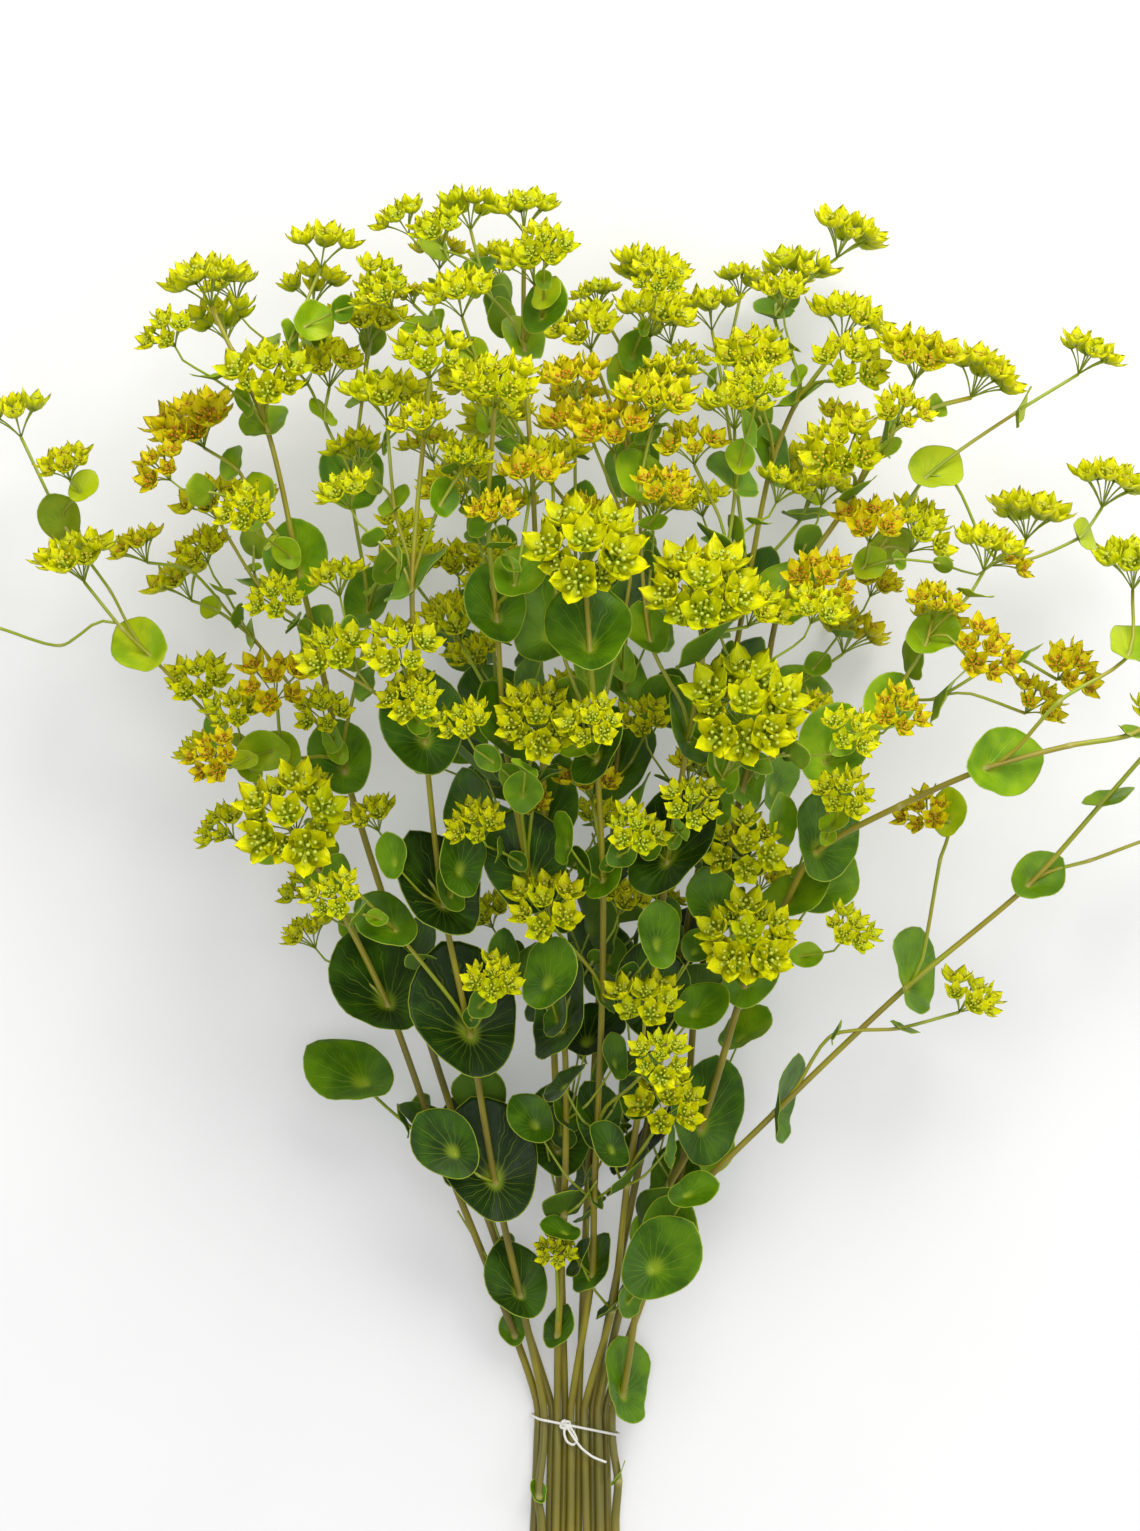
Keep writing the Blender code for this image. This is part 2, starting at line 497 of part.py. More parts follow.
class Body:
    """Points and faces of one closed body, grown ring by ring."""

    def __init__(self):
        self.points = []
        self.faces = []

    def angles(self, numbered, centre, way, reference):
        """Sorted (angle, number) pairs of numbered points round a direction."""
        side = np.cross(way, reference)
        pairs = []
        for point, number in numbered:
            arm = point - centre
            pairs.append((math.atan2(arm @ side, arm @ reference) % (2 * math.pi), number))
        return sorted(pairs)

    def ring(self, points, centre, way, reference):
        """Adds a ring of points and returns it as (angle, number) pairs round the direction."""
        first = len(self.points)
        self.points += [tuple(point) for point in points]
        numbered = [(point, first + i) for i, point in enumerate(points)]
        return self.angles(numbered, centre, way, reference)

    def loft(self, low, high):
        """Joins two rings of (angle, number) pairs, which may have unlike numbers of points."""
        n, m = len(low), len(high)
        i = j = 0
        while i < n or j < m:
            next_low = low[(i + 1) % n][0] + 2 * math.pi * ((i + 1) // n)
            next_high = high[(j + 1) % m][0] + 2 * math.pi * ((j + 1) // m)
            if j == m or (i < n and next_low <= next_high):
                self.faces.append((low[i % n][1], low[(i + 1) % n][1], high[j % m][1]))
                i += 1
            else:
                self.faces.append((low[i % n][1], high[(j + 1) % m][1], high[j % m][1]))
                j += 1


def circle(centre, way, reference, radius, sides):
    """Points of a regular ring with the middle of one side along the reference direction."""
    side = np.cross(way, reference)
    angles = [2 * math.pi * (i + 0.5) / sides for i in range(sides)]
    return [centre + radius * (math.cos(a) * reference + math.sin(a) * side) for a in angles]


def grow_umbel(body, path, first):
    """Rays from the end ring of a branch, each with a star-shaped cup that its florets fill."""
    foot, axis, size, _, count = path["umbel"]
    crown = len(body.points)
    body.points.append(tuple(foot + RAY_RADIUS * axis))
    for i, (base, way, out) in enumerate(cups_of(*path["umbel"])):
        ray = unit(base - foot)
        outward = unit(out - (out @ ray) * ray)
        across = np.cross(ray, outward)
        start = [first + (i - 1) % count, first + i, crown]
        end = []
        for along, aside in ((0.5, -0.87), (0.5, 0.87), (-1.0, 0.0)):
            end.append(len(body.points))
            body.points.append(tuple(base + RAY_RADIUS * (along * outward + aside * across)))
        for k in range(3):
            a, b, c, d = start[k], start[(k + 1) % 3], end[k], end[(k + 1) % 3]
            body.faces += [(a, b, d), (a, d, c)]
        out = unit(out - (out @ way) * way)
        low = body.angles([(body.points[number], number) for number in end], base, way, out)
        rim = body.ring(star_points(base, way, out, size), base, way, out)
        body.loft(low, rim)
        numbers = sorted(number for _, number in rim)
        notches = numbers[1::2]
        body.faces += [(notches[k - 1], numbers[2 * k], notches[k]) for k in range(BRACTS)]
        body.faces += [(notches[0], notches[k], notches[k + 1]) for k in range(1, BRACTS - 1)]


def grow_leaf(body, leaf, low, centre, way, reference, radius, sides):
    """Flares a stem's tube out into a leaf's blade and back in above it."""
    stub = 0.7 * BLADE_THICKNESS * way
    under = body.ring(circle(centre - stub, way, reference, radius, sides), centre, way, reference)
    rim = leaf_rim(leaf)
    top = body.ring(rim + BLADE_THICKNESS * leaf["up"], centre, way, reference)
    bottom = [(angle, number + len(rim)) for angle, number in top]
    body.points += [tuple(point) for point in rim]
    above = body.ring(circle(centre + stub, way, reference, radius, sides), centre, way, reference)
    body.loft(low, under)
    body.loft(under, bottom)
    body.loft(bottom, top)
    body.loft(top, above)
    return above


def grow_path(path):
    """One branch as a body: a tube that flares out into each leaf and ends in a head."""
    body = Body()
    curve, ways, sides = path["curve"], path["ways"], path["sides"]
    leaf_at = {at: leaf for at, leaf in zip(path["node_at"], path["leaves"]) if leaf is not None}
    reference = unit(np.array((0, 0, -1.0)) + ways[0][2] * ways[0])
    last = body.ring(circle(curve[0], ways[0], reference, path["radii"][0], sides), curve[0],
                     ways[0], reference)
    body.faces.append(tuple(number for _, number in reversed(last)))
    for k in range(1, len(curve) - 1):
        centre, way, radius = curve[k], ways[k], path["radii"][k]
        reference = unit(reference - (reference @ way) * way)
        if k in leaf_at:
            last = grow_leaf(body, leaf_at[k], last, centre, way, reference, radius, sides)
        else:
            ring = body.ring(circle(centre, way, reference, radius, sides), centre, way, reference)
            body.loft(last, ring)
            last = ring
    foot, axis, _, _, count = path["umbel"]
    out = cups_of(*path["umbel"])[0][2]
    reference = unit(reference - (reference @ axis) * axis)
    first = len(body.points)
    ring = body.ring(circle(foot, axis, out, path["radii"][-1], count), foot, axis, reference)
    body.loft(last, ring)
    grow_umbel(body, path, first)
    return body


def to_object(name, body, collection, material):
    """A mesh object from a body's points and faces."""
    mesh = bpy.data.meshes.new(name)
    mesh.from_pydata([tuple(p) for p in body.points], [], body.faces)
    mesh.update()
    thing = bpy.data.objects.new(name, mesh)
    thing.data.materials.append(material)
    collection.objects.link(thing)
    return thing


def make_material(name, colour, roughness):
    """A plain finish."""
    material = bpy.data.materials.new(name)
    material.use_nodes = True
    shader = material.node_tree.nodes["Principled BSDF"]
    shader.inputs["Base Color"].default_value = (*colour, 1)
    shader.inputs["Roughness"].default_value = roughness
    return material


def drop_scraps(mesh):
    """Keeps only the largest loose part of a mesh."""
    bm = bmesh.new()
    bm.from_mesh(mesh)
    left = set(bm.verts)
    parts = []
    while left:
        part = set()
        front = [left.pop()]
        while front:
            vert = front.pop()
            part.add(vert)
            near = {edge.other_vert(vert) for edge in vert.link_edges} & left
            left -= near
            front += near
        parts.append(part)
    largest = max(parts, key=len)
    bmesh.ops.delete(bm, geom=[v for v in bm.verts if v not in largest], context="VERTS")
    bm.to_mesh(mesh)
    bm.free()


def fuse(thing, others, collection):
    """Joins a collection of objects to one object and removes them."""
    joint = thing.modifiers.new("Fuse", "BOOLEAN")
    joint.operation = "UNION"
    joint.operand_type = "COLLECTION"
    joint.collection = collection
    joint.solver = "MANIFOLD"
    bpy.context.view_layer.update()
    graph = bpy.context.evaluated_depsgraph_get()
    mesh = bpy.data.meshes.new_from_object(thing.evaluated_get(graph))
    drop_scraps(mesh)
    thing.modifiers.remove(joint)
    old = thing.data
    thing.data = mesh
    bpy.data.meshes.remove(old)
    for other in others:
        bpy.data.objects.remove(other)


def make_stem(name, paths, bunch, repeats):
    """One leafy stem: its trunk with every branch fused to it."""
    material = make_material(name + "_green", (0.30, 0.45, 0.06), 0.55)
    trunk = to_object(name, grow_path(paths[0]), bunch, material)
    branches = [to_object(f"{name}_branch_{i}", grow_path(path), repeats, material)
                for i, path in enumerate(paths[1:])]
    fuse(trunk, branches, repeats)


def string_level(x):
    """Where the slanting turn of string crosses the bundle."""
    return TIE_Y + STRING_SLANT * (BUNDLE_MIDDLE - x)


def string_turn():
    """The turn of string: a taut loop a little way outside the four corner stems."""
    corners = []
    for column, layer in ((0, 0), (LAST_COLUMN, 0), (LAST_COLUMN, 1), (0, 1)):
        _, above = bundle_points(column, layer, STEM_RADIUS, np.random.default_rng(0))
        corners.append(above[0][[0, 2]])
    points = []
    for step in range(TURN_POINTS):
        angle = 2 * math.pi * step / TURN_POINTS
        way = np.array((math.cos(angle), math.sin(angle)))
        corner = max(corners, key=lambda c: c @ way)
        x, z = corner + (STEM_RADIUS + GAP + STRING_RADIUS) * way
        points.append((x, string_level(x), max(z, STRING_RADIUS + GAP)))
    return points


def string_piece(name, points, closed, fineness, collection):
    """A length of string along points, as a mesh."""
    curve = bpy.data.curves.new(name, "CURVE")
    curve.dimensions = "3D"
    curve.bevel_depth = STRING_RADIUS
    curve.bevel_resolution = fineness
    curve.use_fill_caps = True
    spline = curve.splines.new("POLY")
    spline.points.add(len(points) - 1)
    for knot, point in zip(spline.points, points):
        knot.co = (*point, 1)
    spline.use_cyclic_u = closed
    guide = bpy.data.objects.new(name + "_guide", curve)
    collection.objects.link(guide)
    graph = bpy.context.evaluated_depsgraph_get()
    mesh = bpy.data.meshes.new_from_object(guide.evaluated_get(graph))
    bm = bmesh.new()
    bm.from_mesh(mesh)
    bmesh.ops.remove_doubles(bm, verts=bm.verts, dist=0.00001)
    bmesh.ops.triangulate(bm, faces=bm.faces)
    bm.to_mesh(mesh)
    bm.free()
    thing = bpy.data.objects.new(name, mesh)
    thing.matrix_world = guide.matrix_world
    collection.objects.link(thing)
    bpy.data.objects.remove(guide)
    return thing


def make_string(bunch, repeats):
    """The string: one turn round the bundle, its knot, a small loop and a loose end."""
    turn = string_turn()
    top = max(z for _, _, z in turn)
    middle = np.array((KNOT_X, string_level(KNOT_X), top + 0.4 * STRING_RADIUS))
    material = make_material("string_white", (0.85, 0.84, 0.80), 0.9)
    wrap = string_piece("string_tie", turn, True, 0, bunch)
    pieces = []
    for i, (way, wide) in enumerate((((1, 0.5), 0.0023), ((-0.6, 1), 0.0021))):
        along = unit(np.array((*way, 0)))
        across = np.array((-along[1], along[0], 0))
        loop = [middle + wide * math.cos(a) * along
                + 0.55 * wide * math.sin(a) * across + np.array((0, 0, 0.0007 * math.sin(2 * a + i)))
                for a in np.linspace(0, 2 * math.pi, 7, endpoint=False)]
        pieces.append(string_piece(f"knot_{i}", loop, True, 0, repeats))
    lift = np.array((0, 0, 0.0004))
    bow = [middle + lift + np.array((x, y, 0)) * MM for x, y in
           ((0.5, 0.5), (-0.5, -3.5), (0.8, -7.5), (3.6, -9.0), (5.2, -7.2), (4.0, -3.8), (1.4, 0.2))]
    tail = [middle + lift + np.array((x, y, z)) * MM for x, y, z in
            ((0.0, 0.6, 0), (3.4, -5.0, 1.3), (7.5, -10.5, 1.0), (12.5, -14.5, 0.2), (18.5, -17.0, 0.0))]
    pieces.append(string_piece("bow", bow, False, 0, repeats))
    pieces.append(string_piece("tail", tail, False, 0, repeats))
    for piece in [wrap] + pieces:
        piece.data.materials.append(material)
    fuse(wrap, pieces, repeats)


def main():
    """Builds the bunch."""
    for thing in list(bpy.data.objects):
        bpy.data.objects.remove(thing)
    bunch = bpy.data.collections.new(BUNCH_NAME)
    repeats = bpy.data.collections.new("repeats")
    bpy.context.scene.collection.children.link(bunch)
    bpy.context.scene.collection.children.link(repeats)
    for name, paths in arrange().items():
        make_stem(name, paths, bunch, repeats)
    make_string(bunch, repeats)


main()
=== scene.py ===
"""The looks of the bupleurum bunch: finer stalks, leaves, bracts, florets and string on its solids.

The bunch lies on a table at z = 0 with its tips towards +Y, and the camera looks straight down on
it. Units are metres. The first part works out where every stalk, leaf and head lies, by the same
rules as the solids; the second makes the pieces, and the third their finishes, light and camera.
"""

import math

import bpy
import numpy as np
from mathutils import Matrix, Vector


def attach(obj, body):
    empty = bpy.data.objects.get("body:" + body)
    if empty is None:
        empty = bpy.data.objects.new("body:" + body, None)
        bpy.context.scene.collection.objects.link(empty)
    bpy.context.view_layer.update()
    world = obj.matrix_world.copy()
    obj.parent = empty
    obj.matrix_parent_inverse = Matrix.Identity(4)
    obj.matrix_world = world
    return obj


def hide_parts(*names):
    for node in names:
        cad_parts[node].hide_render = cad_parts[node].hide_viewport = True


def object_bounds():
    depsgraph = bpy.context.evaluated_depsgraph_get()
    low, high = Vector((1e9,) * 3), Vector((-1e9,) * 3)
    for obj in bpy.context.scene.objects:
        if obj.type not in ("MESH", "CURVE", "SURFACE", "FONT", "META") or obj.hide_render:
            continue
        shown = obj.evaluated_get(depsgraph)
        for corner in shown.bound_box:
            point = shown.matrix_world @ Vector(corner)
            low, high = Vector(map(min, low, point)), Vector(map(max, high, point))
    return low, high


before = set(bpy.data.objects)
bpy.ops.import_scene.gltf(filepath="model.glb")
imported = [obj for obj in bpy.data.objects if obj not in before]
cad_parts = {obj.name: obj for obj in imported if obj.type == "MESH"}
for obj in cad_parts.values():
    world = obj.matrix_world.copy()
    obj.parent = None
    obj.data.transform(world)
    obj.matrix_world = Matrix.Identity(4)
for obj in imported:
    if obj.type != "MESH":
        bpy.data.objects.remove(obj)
cad_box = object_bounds()

# Driving dimensions
MM = 0.001
STEM_BELOW_TIE = 0.110
TIE_Y = 0.060
TIE_HALF = 0.009
STEM_RADIUS = 0.0022
STEM_TIP_RADIUS = 0.0010
THINNEST_STEM = 0.84
END_SPREAD = 1.25
END_SHIFT = 0.0011
BRANCH_RADIUS = 0.00095
BRANCH_TIP_RADIUS = 0.00075
BLADE_THICKNESS = 0.0007
RAY_LENGTH = 0.0155
RAY_RADIUS = 0.0006
CUP_RADIUS = 0.0080
CUP_DEPTH = 0.0078
BRACTS = 4
STRING_RADIUS = 0.00065
GAP = 0.0003
STEM_SPACING = 0.0063
MIDDLE_COLUMN = 3
LAST_COLUMN = 5
BUNDLE_MIDDLE = -0.28 * STEM_SPACING
STRING_SLANT = 0.2
TURN_POINTS = 14
KNOT_X = -0.0062
STEM_SIDES = 5
AXIL_RISE = 0.003
REST_SPIN = 0.4
LAYOUT_SEED = 11
SHOOT_SEED = 23
DRESSING_SEED = 5

# Shares, turns and tries of the rules that lay out and settle stems, leaves and heads
ANY_TURN = 6.28
LAYER_SHIFT = 0.45
END_JITTER = 0.012
FLAT_LENGTH = 0.045
FORK_LEAN = 0.55
FORK_REACH = 0.012
HEAD_RISE = 0.8
HEAD_NECK = 0.4
STEEP_HEAD = 0.5
TOWARDS_TIPS = np.array((0, 1, 0.12))
LEAF_CUP = 0.36
LEAF_WAVE = 0.22
TIP_WIDTH = 0.22
STEM_TOUCH = 0.9
LEAF_ROOT = 4.5
BLADE_MARGIN = 1.05
BALL_RINGS = (0.35, 0.68, 0.98)
FOUR_CUPS = 0.97
FIVE_CUPS = 1.1
CUP_LEANS = (40, 46)
LONG_RAY = 1.06
NOTCH_REACH = 0.6
NOTCH_RISE = 0.5
BALL_STEP = 0.003
BALL_TURN = 24
BALL_SHARE = 0.075
BALL_LEAST = 0.0008
CUP_BALL_LEVEL = 0.55
CUP_BALL_WIDTH = 1.13
RAY_BALL_WIDTH = 2.5
HEAD_SCALES = (1.0, 0.92, 0.84, 0.76, 0.68, 0.6)
HEAD_TURN = 0.35
HEAD_TURNS = 5
HEAD_NEAR = 0.05
LEAF_SCALES = (1.0, 0.88, 0.76, 0.64, 0.54)
LEAF_SWINGS = (0, 20, -20, 40, -40, 65, -65, 95, -95, 130, -130, 180)
LEAF_TILTS = (40, 34, 52, 64)
LEAF_PRESS = 0.003
LEAF_CORNERS = (0, 40, 90, 148, 212, 270, 320)
SMALL_LEAF_CORNERS = (0, 50, 115, 180, 245, 310)
SMALL_LEAF = 0.0305

# Where a picture of the bunch, taken from above, shows each point: a pixel is PIXEL wide at the
# level PIXEL_LEVEL, and the picture's middle lies under the eye
PIXEL = 0.00043
PIXEL_LEVEL = 0.100
EYE_LEVEL = 1.720
PICTURE_MIDDLE = (570, 765)
PICTURE_HEIGHT = 1531
TIE_PIXEL = (575, 1425)
TIE_LEVEL = 0.009

# Each stem: its place in the bundle (column, layer), then its paths. A path is its start (path,
# node), its nodes and its head. A node is pixel x, pixel y, height in mm, leaf length in mm and
# the leaf's turn in degrees: 0 shows its upper side, 90 leans right, -90 left, 180 shows its back.
# A head is pixel x, pixel y, height in mm, size, how far it faces up from the table, and ripeness.
STEMS = {
    "leafy_stem_01": ((0, 0), [
        (None, [(515, 1335, 10, 30, -60), (437, 1140, 32, 34, -70), (388, 1005, 48, 52, -20),
                (322, 875, 55, 26, 30), (262, 790, 62, 0, 0), (222, 735, 70, 26, 60)],
         (198, 674, 80, 1.0, 0.45, 0.2)),
        ((0, 4), [], (205, 745, 40, 0.8, 0.2, 0.1)),
        ((0, 5), [(150, 655, 88, 30, -10), (122, 628, 92, 0, 0)], (75, 555, 95, 1.0, 0.2, 0.3)),
        ((2, 0), [(110, 590, 76, 0, 0), (66, 528, 72, 24, 170)], (15, 412, 66, 0.9, 0.1, 0.2)),
        ((3, 1), [(80, 492, 84, 16, 20)], (65, 462, 92, 0.7, 0.2, 0.5)),
        ((2, 1), [(60, 645, 80, 0, 0), (0, 628, 74, 0, 0)], (-52, 600, 70, 0.9, 0.2, 0.3)),
    ]),
    "leafy_stem_02": ((0, 1), [
        (None, [(538, 1496, 9, 22, -60), (520, 1295, 24, 58, -25), (495, 1182, 48, 56, -15),
                (470, 1035, 88, 60, -20), (443, 905, 114, 50, -40), (425, 742, 150, 46, -10),
                (412, 592, 182, 34, 70)],
         (430, 352, 178, 0.95, 0.4, 0.2)),
        ((0, 3), [(395, 930, 112, 30, -30), (345, 880, 124, 20, 150)],
         (290, 818, 138, 1.3, 0.85, 0.0)),
        ((0, 5), [(372, 690, 156, 20, 60)], (330, 650, 160, 0.9, 0.5, 0.1)),
        ((0, 5), [], (400, 648, 184, 0.9, 0.5, 0.1)),
        ((0, 6), [(395, 510, 170, 20, 30)], (385, 392, 160, 1.0, 0.3, 0.2)),
        ((0, 6), [(440, 505, 192, 18, -30)], (468, 442, 200, 1.0, 0.35, 0.0)),
    ]),
    "leafy_stem_03": ((1, 0), [
        (None, [(468, 1160, 12, 42, 60), (410, 980, 24, 44, 60), (345, 772, 60, 36, -5),
                (318, 650, 84, 30, 60), (300, 575, 108, 36, 5), (268, 432, 122, 28, -40)],
         (205, 278, 118, 1.0, 0.1, 0.1)),
        ((0, 4), [(262, 515, 122, 28, -60), (238, 470, 120, 20, 90)],
         (192, 420, 116, 1.1, 0.4, 1.0)),
        ((0, 5), [], (265, 372, 146, 1.0, 0.3, 0.1)),
        ((0, 5), [(240, 360, 104, 14, -30)], (222, 316, 92, 0.9, 0.1, 0.3)),
        ((0, 5), [(288, 345, 122, 18, -60)], (325, 242, 112, 0.9, 0.1, 0.2)),
        ((4, 0), [(315, 335, 100, 18, 20)], (313, 282, 84, 0.85, 0.1, 0.1)),
        ((0, 2), [(255, 640, 48, 16, 60), (217, 610, 44, 15, 0)], (180, 578, 42, 0.9, 0.2, 0.5)),
        ((6, 0), [(190, 570, 66, 0, 0)], (135, 545, 62, 0.75, 0.2, 0.6)),
        ((0, 2), [(287, 755, 80, 20, 0)], (274, 682, 112, 0.95, 0.5, 1.0)),
        ((0, 2), [(368, 612, 74, 34, 40), (352, 492, 90, 36, -10), (362, 400, 92, 22, 60)],
         (368, 318, 92, 1.0, 0.2, 0.2)),
        ((9, 1), [(325, 420, 96, 16, -60)], (330, 362, 100, 0.9, 0.2, 0.4)),
        ((0, 3), [(262, 590, 70, 20, -60)], (212, 497, 78, 0.9, 0.2, 0.5)),
    ]),
    "leafy_stem_04": ((1, 1), [
        (None, [(558, 1335, 21, 24, -20), (564, 1215, 40, 34, 30), (566, 1120, 64, 36, -50),
                (563, 1030, 84, 46, 0),
                (530, 880, 114, 46, 20), (505, 740, 142, 38, -60), (497, 620, 166, 34, -20),
                (488, 520, 180, 28, 60)],
         (495, 380, 206, 1.0, 0.3, 0.3)),
        ((0, 0), [], (556, 1250, 46, 0.55, 0.7, 0.3)),
        ((0, 4), [(522, 800, 146, 16, 60)], (537, 716, 176, 1.25, 0.75, 0.1)),
        ((0, 4), [], (533, 792, 142, 0.8, 0.4, 0.8)),
        ((0, 6), [(514, 585, 186, 28, 10)], (532, 470, 186, 0.9, 0.3, 0.8)),
        ((0, 5), [], (455, 620, 140, 0.8, 0.3, 0.2)),
    ]),
    "leafy_stem_05": ((2, 0), [
        (None, [(558, 1150, 30, 42, -30), (552, 1000, 52, 40, 60), (548, 915, 66, 34, -60),
                (545, 830, 80, 42, 30), (542, 740, 92, 34, -50),
                (540, 650, 104, 36, 60), (532, 470, 116, 28, 60), (524, 350, 118, 26, -30)],
         (524, 208, 120, 0.85, 0.05, 0.1)),
        ((0, 7), [(505, 325, 108, 18, -80), (483, 275, 104, 20, 0)],
         (468, 206, 92, 0.85, 0.05, 0.0)),
        ((0, 7), [(542, 318, 126, 26, 30)], (532, 258, 134, 0.95, 0.2, 0.1)),
        ((0, 6), [(478, 360, 138, 16, 0)], (458, 290, 146, 0.95, 0.2, 0.1)),
        ((0, 6), [(440, 330, 92, 18, 30)], (408, 288, 84, 0.6, 0.1, 0.7)),
        ((0, 3), [(502, 720, 84, 42, -30), (490, 600, 86, 34, 50), (482, 530, 88, 24, 60)],
         (455, 480, 96, 0.9, 0.2, 0.5)),
        ((0, 5), [(572, 620, 88, 30, -60), (575, 520, 90, 26, 40)],
         (575, 420, 100, 1.0, 0.2, 0.9)),
    ]),
    "leafy_stem_06": ((2, 1), [
        (None, [(592, 1275, 30, 34, 20), (594, 1200, 44, 30, -60), (597, 1130, 60, 44, 50),
                (602, 1000, 92, 42, 10),
                (603, 880, 126, 42, -20), (597, 760, 158, 36, 60), (590, 650, 188, 46, 0)],
         (585, 548, 206, 1.3, 0.7, 0.0)),
        ((0, 3), [], (545, 906, 136, 0.95, 0.45, 0.3)),
        ((0, 2), [(640, 1075, 92, 18, 0)], (645, 1000, 116, 0.9, 0.4, 0.1)),
        ((0, 4), [], (590, 778, 132, 0.8, 0.3, 1.2)),
        ((0, 5), [(560, 640, 170, 18, -60)], (552, 455, 150, 0.9, 0.3, 0.3)),
        ((0, 5), [(632, 560, 168, 26, 60)], (612, 425, 176, 1.0, 0.3, 0.9)),
        ((5, 0), [], (572, 375, 160, 0.9, 0.2, 0.9)),
    ]),
    "leafy_stem_07": ((3, 1), [
        (None, [(612, 1310, 26, 28, 60), (627, 1185, 50, 48, 15), (640, 1100, 70, 36, 60),
                (650, 1010, 88, 44, 20),
                (668, 862, 124, 52, -15), (688, 740, 158, 34, -60), (702, 660, 178, 34, 60)],
         (702, 588, 198, 1.25, 0.6, 0.0)),
        ((0, 1), [], (668, 1102, 90, 0.95, 0.5, 0.3)),
        ((0, 4), [(722, 778, 164, 22, 40)], (745, 708, 190, 1.35, 0.75, 0.0)),
        ((0, 5), [(650, 640, 170, 24, -20), (640, 490, 172, 32, 0)], (655, 395, 172, 1.0, 0.3, 0.5)),
        ((0, 6), [(725, 560, 162, 28, -60), (735, 490, 166, 30, 30)],
         (735, 400, 160, 1.0, 0.25, 0.2)),
        ((4, 0), [], (690, 440, 172, 0.9, 0.3, 0.7)),
        ((0, 6), [], (760, 605, 176, 0.9, 0.4, 0.3)),
    ]),
    "leafy_stem_08": ((5, 1), [
        (None, [(618, 1480, 10, 26, 60), (622, 1395, 16, 62, 40), (655, 1243, 36, 50, 75),
                (775, 1112, 54, 40, -75), (905, 988, 68, 42, -80), (1028, 885, 80, 28, 20),
                (1100, 805, 86, 24, 70)],
         (1168, 715, 90, 0.9, 0.2, 0.2)),
        ((0, 3), [(832, 1035, 62, 12, -90), (898, 1028, 66, 14, 80)],
         (972, 995, 70, 0.85, 0.3, 0.3)),
        ((0, 4), [(940, 860, 84, 0, 0), (950, 822, 90, 22, 10)], (922, 812, 98, 0.7, 0.3, 1.0)),
        ((0, 5), [(1090, 860, 70, 0, 0), (1150, 838, 62, 16, 0)], (1188, 815, 58, 0.8, 0.2, 0.2)),
    ]),
    "leafy_stem_09": ((4, 1), [
        (None, [(640, 1240, 15, 36, 60), (700, 1128, 38, 56, 30), (745, 985, 82, 32, 0),
                (785, 905, 100, 34, 60), (815, 852, 114, 44, 10), (900, 805, 132, 0, 0),
                (985, 768, 150, 38, 5), (1070, 745, 152, 0, 0), (1128, 735, 150, 18, 60)],
         (1180, 690, 148, 0.9, 0.3, 0.2)),
        ((0, 2), [], (748, 938, 128, 1.15, 0.6, 0.1)),
        ((0, 4), [(825, 762, 134, 38, 0), (880, 712, 142, 28, 0), (925, 645, 150, 28, 30)],
         (935, 600, 152, 0.7, 0.3, 0.8)),
        ((2, 2), [(968, 596, 146, 18, 60)], (990, 545, 142, 0.9, 0.2, 0.2)),
        ((2, 2), [], (985, 652, 164, 0.85, 0.4, 1.0)),
        ((0, 6), [(1060, 700, 166, 0, 0), (1128, 655, 160, 30, -80)],
         (1135, 560, 152, 1.0, 0.2, 0.1)),
        ((2, 1), [(935, 698, 130, 32, -70), (1012, 658, 126, 28, -70)],
         (1072, 668, 132, 0.8, 0.4, 1.0)),
        ((6, 0), [], (1040, 700, 118, 0.75, 0.4, 0.8)),
    ]),
    "leafy_stem_10": ((5, 0), [
        (None, [(678, 1190, 9, 38, 70), (696, 1000, 46, 42, -60), (725, 870, 84, 36, 60),
                (742, 790, 98, 30, -50),
                (760, 725, 108, 34, 40), (780, 608, 122, 34, 10), (850, 500, 124, 22, 60),
                (882, 440, 120, 24, -70), (932, 408, 114, 14, 0)],
         (985, 372, 106, 1.0, 0.1, 0.5)),
        ((0, 2), [], (745, 846, 122, 0.95, 0.6, 0.2)),
        ((0, 5), [], (822, 582, 150, 0.9, 0.4, 1.0)),
        ((0, 5), [(862, 568, 124, 18, 0)], (872, 520, 136, 0.9, 0.3, 1.0)),
        ((0, 5), [(870, 560, 100, 0, 0), (925, 478, 98, 30, 20), (1016, 412, 92, 20, -70)],
         (1090, 352, 88, 0.85, 0.15, 0.2)),
        ((0, 7), [], (920, 352, 128, 1.0, 0.2, 0.6)),
        ((0, 6), [], (840, 448, 146, 1.0, 0.3, 0.4)),
        ((4, 0), [], (925, 532, 104, 0.9, 0.2, 0.2)),
        ((4, 1), [(1000, 560, 80, 0, 0), (1078, 538, 76, 20, 0)], (1110, 480, 70, 1.0, 0.15, 0.3)),
        ((8, 0), [], (1030, 512, 60, 1.0, 0.2, 0.3)),
    ]),
    "leafy_stem_11": ((4, 0), [
        (None, [(640, 1160, 14, 46, 60), (680, 960, 26, 50, 60), (700, 860, 34, 40, -50),
                (715, 760, 44, 44, -40), (730, 680, 52, 34, 50),
                (745, 600, 62, 38, 40), (770, 470, 74, 30, -50), (795, 405, 80, 28, 80)],
         (850, 315, 88, 1.0, 0.1, 0.3)),
        ((0, 7), [(775, 318, 62, 24, -10)], (800, 268, 56, 0.95, 0.1, 0.3)),
        ((1, 0), [], (848, 232, 48, 1.0, 0.1, 0.2)),
        ((0, 6), [], (748, 352, 106, 1.0, 0.15, 0.4)),
        ((0, 5), [(725, 400, 48, 18, 30)], (710, 305, 44, 0.9, 0.1, 0.3)),
        ((4, 0), [], (742, 278, 30, 0.7, 0.1, 0.3)),
        ((0, 7), [], (852, 362, 112, 0.95, 0.2, 0.3)),
